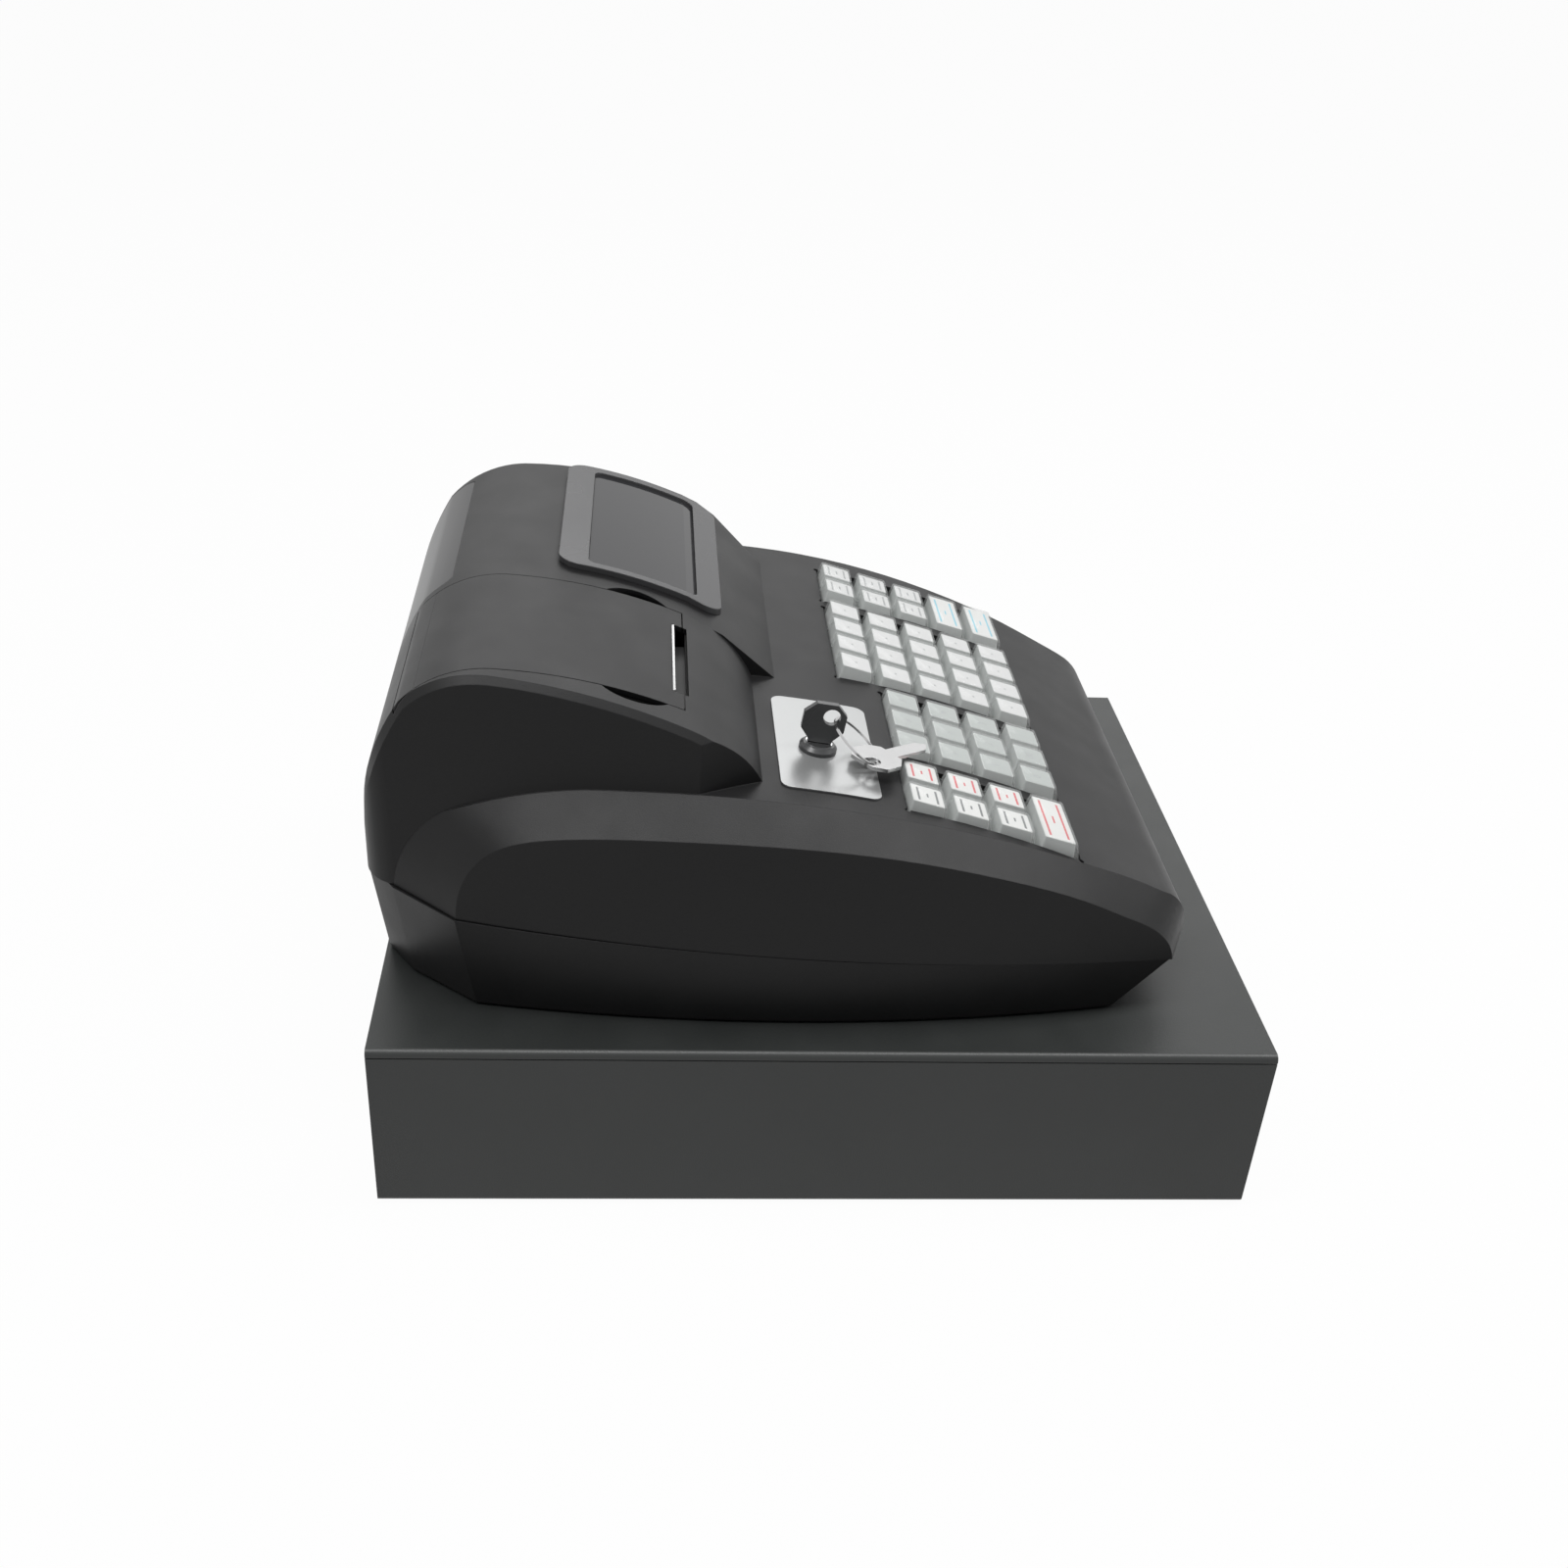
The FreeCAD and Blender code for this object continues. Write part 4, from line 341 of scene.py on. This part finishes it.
def stacked(tree, levels, corner):
    """A closed block with rounded corners through levels of width, depth, height and setback."""
    width, depth, low, back = levels[0]
    loop = add(tree, "GeometryNodeCurvePrimitiveQuadrilateral", {"Width": width, "Height": depth})[0]
    fillet = {"Curve": loop, "Count": corner_steps, "Radius": corner}
    loop = add(tree, "GeometryNodeFilletCurve", fillet, mode="POLY")[0]
    face = add(tree, "GeometryNodeFillCurve", {"Curve": loop}, mode="NGONS")[0]
    lowest = {"Geometry": face, "Translation": vector(tree, 0.0, back, low)}
    face = add(tree, "GeometryNodeTransform", lowest)[0]
    under = add(tree, "GeometryNodeFlipFaces", {"Mesh": face})[0]
    shape, top = face, True
    for wide, deep, high, shift in levels[1:]:
        grown = add(tree, "GeometryNodeExtrudeMesh", {
            "Mesh": shape, "Offset Scale": 0.0, "Individual": False, "Selection": top,
        })
        shape, top = grown["Mesh"], grown["Top"]
        from_middle = add(tree, "ShaderNodeVectorMath", {
            0: add(tree, "GeometryNodeInputPosition")[0], 1: vector(tree, 0.0, back),
        }, operation="SUBTRACT")[0]
        across, along = [
            sum_of(tree, new, old, "DIVIDE") for new, old in ((wide, width), (deep, depth))
        ]
        growth = vector(tree, across, along)
        spread = add(tree, "ShaderNodeVectorMath", {0: from_middle, 1: growth}, operation="MULTIPLY")[0]
        placed = add(tree, "ShaderNodeVectorMath", {0: spread, 1: vector(tree, 0.0, shift, high)})[0]
        moved = {"Geometry": shape, "Selection": top, "Position": placed}
        shape = add(tree, "GeometryNodeSetPosition", moved)[0]
        width, depth, back = wide, deep, shift
    both = tree.nodes.new("GeometryNodeJoinGeometry")
    tree.links.new(shape, both.inputs[0])
    tree.links.new(under, both.inputs[0])
    return add(tree, "GeometryNodeMergeByDistance", {"Geometry": both.outputs[0], "Distance": weld_reach})[0]


def planted(tree, part, material, points, turn):
    """A part set on every point, real geometry in its material."""
    where = {"Points": points, "Instance": part, "Rotation": turn}
    set_out = add(tree, "GeometryNodeInstanceOnPoints", where)[0]
    real = add(tree, "GeometryNodeRealizeInstances", {"Geometry": set_out})[0]
    return add(tree, "GeometryNodeSetMaterial", {"Geometry": real, "Material": material})[0]


def joined(tree, parts):
    """All the parts as one, wired to the tree's end."""
    whole = tree.nodes.new("GeometryNodeJoinGeometry")
    for part in parts:
        tree.links.new(part, whole.inputs[0])
    tree.links.new(whole.outputs[0], tree.nodes.new("NodeGroupOutput").inputs[0])


def bar(tree, length, width, thickness, place):
    """A thin printed bar with its middle at a place."""
    block = add(tree, "GeometryNodeMeshCube", {"Size": vector(tree, length, width, thickness)})[0]
    return add(tree, "GeometryNodeTransform", {"Geometry": block, "Translation": place})[0]


def key_tree(sizes):
    """Stem, clear cap, slip, bars and figure of a key, on every point of a bank."""
    tree, size = new_tree("register_key", sizes)
    lean = vector(tree, math.radians(board_lean), 0.0)
    points = add(tree, "GeometryNodeTransform", {
        "Geometry": size["Geometry"], "Translation": board_place, "Rotation": lean,
    })[0]
    wide, deep, low, rim = size["Rim Width"], size["Rim Depth"], size["Rim Low"], size["Rim High"]
    high, back, wall, ease = size["Top High"], size["Top Back"], size["Cap Wall"], size["Top Ease"]
    top_wide = sum_of(tree, wide, size["Side Taper"], "SUBTRACT")
    top_deep = sum_of(tree, deep, size["Front Taper"], "SUBTRACT")

    def less(value, *amounts):
        for amount in amounts:
            value = sum_of(tree, value, amount, "SUBTRACT")
        return value

    cap = stacked(tree, [
        (wide, deep, low, 0.0),
        (wide, deep, rim, 0.0),
        (less(wide, ease), less(deep, ease), sum_of(tree, rim, wall), 0.0),
        (top_wide, top_deep, less(high, ease), back),
        (less(top_wide, ease), less(top_deep, ease), less(high, size["Top Dish"]), back),
        (less(top_wide, ease, ease), less(top_deep, ease, ease), high, back),
    ], size["Corner"])
    core_high = less(high, wall)
    slip_high = sum_of(tree, core_high, size["Slip Thickness"])
    core = stacked(tree, [
        (less(wide, wall, wall, wall), less(deep, wall, wall, wall), sum_of(tree, low, ease), 0.0),
        (less(top_wide, wall, wall), less(top_deep, wall, wall), core_high, back),
    ], size["Corner"])
    stem = stacked(tree, [
        (size["Stem"], size["Stem"], size["Stem Low"], 0.0),
        (size["Stem"], size["Stem"], sum_of(tree, low, wall), 0.0),
    ], ease)
    slip_wide = less(top_wide, wall, wall, size["Slip Edge"])
    slip_deep = less(top_deep, wall, wall, size["Slip Edge"])
    slip = stacked(tree, [
        (slip_wide, slip_deep, core_high, back),
        (slip_wide, slip_deep, slip_high, back),
    ], size["Slip Edge"])
    ink_high = sum_of(tree, slip_high, size["Ink"])
    printed = tree.nodes.new("GeometryNodeJoinGeometry")
    for side in (0.5, -0.5):
        across = sum_of(tree, back, sum_of(tree, size["Bar Apart"], side, "MULTIPLY"))
        place = vector(tree, 0.0, across, slip_high)
        edge_bar = bar(tree, size["Bar Length"], size["Bar Width"], size["Ink"], place)
        tree.links.new(edge_bar, printed.inputs[0])
    middle = vector(tree, 0.0, back, slip_high)
    mark = bar(tree, size["Mark Length"], size["Mark Width"], size["Ink"], middle)
    tree.links.new(mark, printed.inputs[0])
    figure = {"String": size["Figure"], "Size": size["Figure Size"]}
    letters = add(tree, "GeometryNodeStringToCurves", figure, align_x="CENTER", align_y="MIDDLE")[0]
    filled = add(tree, "GeometryNodeFillCurve", {"Curve": letters}, mode="TRIANGLES")[0]
    lifted = {"Geometry": filled, "Translation": vector(tree, 0.0, back, ink_high)}
    raised = add(tree, "GeometryNodeTransform", lifted)[0]
    joined(tree, [
        planted(tree, cap, size["Cap"], points, lean),
        planted(tree, core, size["Body"], points, lean),
        planted(tree, stem, size["Body"], points, lean),
        planted(tree, slip, size["Paper"], points, lean),
        planted(tree, printed.outputs[0], size["Bars"], points, lean),
        planted(tree, raised, size["Letters"], points, lean),
    ])
    return tree


cap_plastic = finish("key_cap_clear", cap_clear, 0.12, 0.0030, 0.000004, 0.02)
cap_plastic.node_tree.nodes["Principled BSDF"].inputs["Alpha"].default_value = cap_alpha
stem_plastic = finish("key_stem", stem_grey, 0.45, 0.0020, 0.00001, 0.03)
papers = {
    "white": finish("slip_white", slip_white, 0.80, 0.0004, 0.000004, 0.02),
    "pale": finish("slip_pale", slip_pale, 0.80, 0.0004, 0.000004, 0.02),
    "grey": finish("slip_grey", slip_grey, 0.80, 0.0004, 0.000004, 0.02),
}
inks = {
    "dark": finish("ink_dark", ink_grey, 0.70, 0.0004, 0.000002, 0.10),
    "faint": finish("ink_faint", ink_faint, 0.70, 0.0004, 0.000002, 0.10),
    "red": finish("ink_red", ink_red, 0.70, 0.0004, 0.000002, 0.10),
    "blue": finish("ink_blue", ink_blue, 0.70, 0.0004, 0.000002, 0.10),
}
column, row = 0.0203, 0.0210
left, right = -0.09365, 0.09365
figures_left = -0.06505
departments_left = 0.00415
single_rim, double_rim = key_sizes["Rim Width"], 0.0399
paper_bars = (0.0108, 0.0030)
block_bars = (0.0110, 0.0040)
clerk_bars = (0.0300, 0.0060)
total_bars = (0.0290, 0.0050)
faint_dash = (0.0, 0.0016)
no_bars = (0.0, 0.0)


def places(across, rows):
    """Points on the keyboard's plane, in its own columns and rows."""
    return [(x, row * j, 0) for x in across for j in rows]


banks = {
    "paper_keys_1": (places([left - column], (1, 0, -1)), "white", "dark", paper_bars, ""),
    "paper_keys_2": (places([left], (1, 0, -1)), "white", "red", paper_bars, ""),
    "clerk_key": (places([left - column / 2], [-2]), "white", "red", clerk_bars, ""),
    "function_keys": (places([right, right + column], (2, 1, 0)), "pale", "faint", block_bars, ""),
    "subtotal_key": (places([right + column / 2], [-1]), "white", "blue", total_bars, ""),
    "cash_key": (places([right + column / 2], [-2]), "white", "blue", total_bars, ""),
}
for bank in range(4):
    across = departments_left + column * bank
    banks["department_keys_%d" % (bank + 1)] = (
        places([across], (2, 1, 0, -1, -2)), "pale", "faint", faint_dash, ""
    )
for place, figure in enumerate(("7", "8", "9", "4", "5", "6", "1", "2", "3", "0", "00", ".")):
    across = figures_left + column * (place % 3)
    banks["number_key_%d" % (place + 1)] = (
        places([across], [1 - place // 3]), "grey", "faint", no_bars, figure
    )
key_maker = key_tree({
    **key_sizes, "Cap": cap_plastic, "Body": stem_plastic, "Paper": papers["white"],
    "Bars": inks["dark"], "Letters": inks["faint"],
})
for name, (points, paper, ink, (bar_length, mark_length), figure) in banks.items():
    keys = grow(name + "_made", points, key_maker, {
        **key_sizes, "Cap": cap_plastic, "Body": stem_plastic, "Paper": papers[paper],
        "Bars": inks[ink], "Letters": inks["faint"], "Bar Length": bar_length,
        "Mark Length": mark_length, "Figure": figure,
        "Rim Width": double_rim if len(points) == 1 and bar_length else single_rim,
    })
    for face in keys.data.polygons:
        face.use_smooth = True
    keys.data.set_sharp_from_angle(angle=math.radians(key_crease))
    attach(keys, name)
    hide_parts(name)

# The lock plate: a thin plate of satin aluminium, set in the deck. The mode lock stands
# through it: a black collar, a bright plug, and the dark-covered key in it.
plate_silver = (0.34, 0.345, 0.345)
plate_metal = finish("plate_metal", plate_silver, 0.30, 0.0012, 0.00001, 0.03, 0.65)
key_dark = (0.030, 0.031, 0.032)
key_round = 0.0003
key_cover = finish("key_cover", key_dark, 0.28, 0.0010, 0.00001, 0.08)
dress("lock_plate", "register", plate_metal, rounding=fine_round)
dress("mode_lock_barrel", "register", key_cover, turned_crease)
dress("mode_lock_plug", "mode_lock", chrome, turned_crease)
dress("mode_key", "mode_lock", key_cover, turned_crease, key_round)

# The spare key hangs on a wire ring through the mode key's bow and lies on the deck beside
# the keyboard. It is stamped from nickel-plated brass.
nickel_grey = (0.50, 0.50, 0.50)
wire_crease = 50.0
stamped_crease = 30.0
nickel = finish("bright_nickel", nickel_grey, 0.20, 0.002, 0.00001, 0.03, 1.0)
dress("key_ring", "key_ring", nickel, wire_crease)
dress("spare_key", "key_ring", nickel, stamped_crease, fine_round)

# The printer: a blackened frame with its head under the slot, a rubber platen in the cover,
# the paper roll in its cradle, and the cover with a toothed bar for tearing tickets off.
frame_black = (0.010, 0.010, 0.010)
paper_white = (0.80, 0.80, 0.78)
# The tear bar's grey is darker than bare steel: painted shade for the paper slot it is seen through.
tear_grey_and_slot_shade = (0.20, 0.20, 0.20)
roll_crease = 40.0
blackened = finish("blackened_frame", frame_black, 0.50, 0.0010, 0.00001, 0.06)
give("printer_frame", blackened)
give("platen_roller", rubber)
roll_paper = finish("roll_paper", paper_white, 0.85, 0.0006, 0.00002, 0.03)
dress("paper_roll", "paper_roll", roll_paper, roll_crease)
dress("printer_cover", "printer_cover", moulded, shell_crease)
# The toothed bar is steel in the darkened grey above, which paints the shade of the slot around it.
tear_steel_and_slot_shade = finish("tear_steel_and_slot_shade", tear_grey_and_slot_shade, 0.34, 0.0010, 0.00001, 0.05, 1.0)
dress("tear_bar", "printer_cover", tear_steel_and_slot_shade)

# The operator's display: a grey moulded bezel snapped into the hump over a smoked window.
# The customer's window of the same plastic, duller, is let into the hump's rear.
bezel_grey = (0.060, 0.060, 0.062)
bezel_round = 0.0009
window_smoke = (0.026, 0.026, 0.028)
rear_smoke = (0.014, 0.014, 0.015)
bezel_plastic = finish(
    "bezel_plastic", bezel_grey, 0.26, 0.0008, 0.00001, 0.06, gloss=0.25, eased=bezel_round
)
smoked = finish("smoked_window", window_smoke, 0.08, 0.004, 0.000004, 0.05, gloss=0.32)
dress("display_bezel", "register", bezel_plastic)
dress("display_window", "register", smoked)
rear_smoked = finish("rear_smoked_window", rear_smoke, 0.30, 0.004, 0.000004, 0.05, gloss=0.25)
dress("customer_window", "register", rear_smoked)

# The counter is a plain white sheet that runs on out of sight. A long narrow lamp hangs over
# the till and a weaker one faces its far side, and the room is white wherever it is looked at.
counter_white = (0.60, 0.60, 0.60)
counter_half = 40.0
counter_glow = 0.97
mesh = bpy.data.meshes.new("counter_sheet")
corners = [(i * counter_half, j * counter_half, 0) for i, j in ((-1, -1), (1, -1), (1, 1), (-1, 1))]
mesh.from_pydata(corners, [], [(0, 1, 2, 3)])
counter = bpy.data.objects.new("counter_sheet", mesh)
bpy.context.scene.collection.objects.link(counter)


def looked_at(tree):
    """One where the camera, a gloss or a clear body looks, and zero where light only lands."""
    path = tree.nodes.new("ShaderNodeLightPath").outputs
    seen = path["Is Camera Ray"]
    for ray in ("Is Glossy Ray", "Is Transmission Ray"):
        seen = add(tree, "ShaderNodeMath", {0: seen, 1: path[ray]}, operation="MAXIMUM")[0]
    return seen


sheet = bpy.data.materials.new("counter_sheet")
sheet.use_nodes = True
tree = sheet.node_tree
tree.nodes.remove(tree.nodes["Principled BSDF"])
matt = add(tree, "ShaderNodeBsdfDiffuse", {"Color": (*counter_white, 1)})[0]
glow = add(tree, "ShaderNodeEmission", {"Strength": 1.0})[0]
share = add(tree, "ShaderNodeMath", {0: looked_at(tree), 1: counter_glow}, operation="MULTIPLY")[0]
blend = add(tree, "ShaderNodeMixShader", {0: share, 1: matt, 2: glow})[0]
tree.links.new(blend, tree.nodes["Material Output"].inputs["Surface"])
mesh.materials.append(sheet)

room_light = 0.08
room = bpy.data.worlds.new("white_room")
room.use_nodes = True
tree = room.node_tree
level = add(tree, "ShaderNodeMapRange", {"Value": looked_at(tree), "To Min": room_light, "To Max": 1.0})[0]
back = tree.nodes["Background"]
back.inputs["Color"].default_value = (1, 1, 1, 1)
tree.links.new(level, back.inputs["Strength"])
bpy.context.scene.world = room

for name, place, run, wide, tall, power in (
    ("ceiling_lamp", (-0.17, -0.30, 1.4), (-0.26, 0.966, 0), 3.4, 0.32, 37.0),
    ("back_lamp", (1.30, 0.0, 1.05), (0, 1, 0), 1.7, 0.4, 5.0),
):
    light = bpy.data.lights.new(name, "AREA")
    light.shape = "RECTANGLE"
    light.size = wide
    light.size_y = tall
    light.energy = power
    lamp = bpy.data.objects.new(name, light)
    along = Vector(run).normalized()
    facing = (Vector(place) - along * Vector(place).dot(along)).normalized()
    lamp.matrix_world = Matrix.Translation(place) @ Matrix([
        (along[i], facing.cross(along)[i], facing[i]) for i in range(3)
    ]).to_4x4()
    bpy.context.scene.collection.objects.link(lamp)

bpy.context.scene.view_settings.view_transform = "Standard"
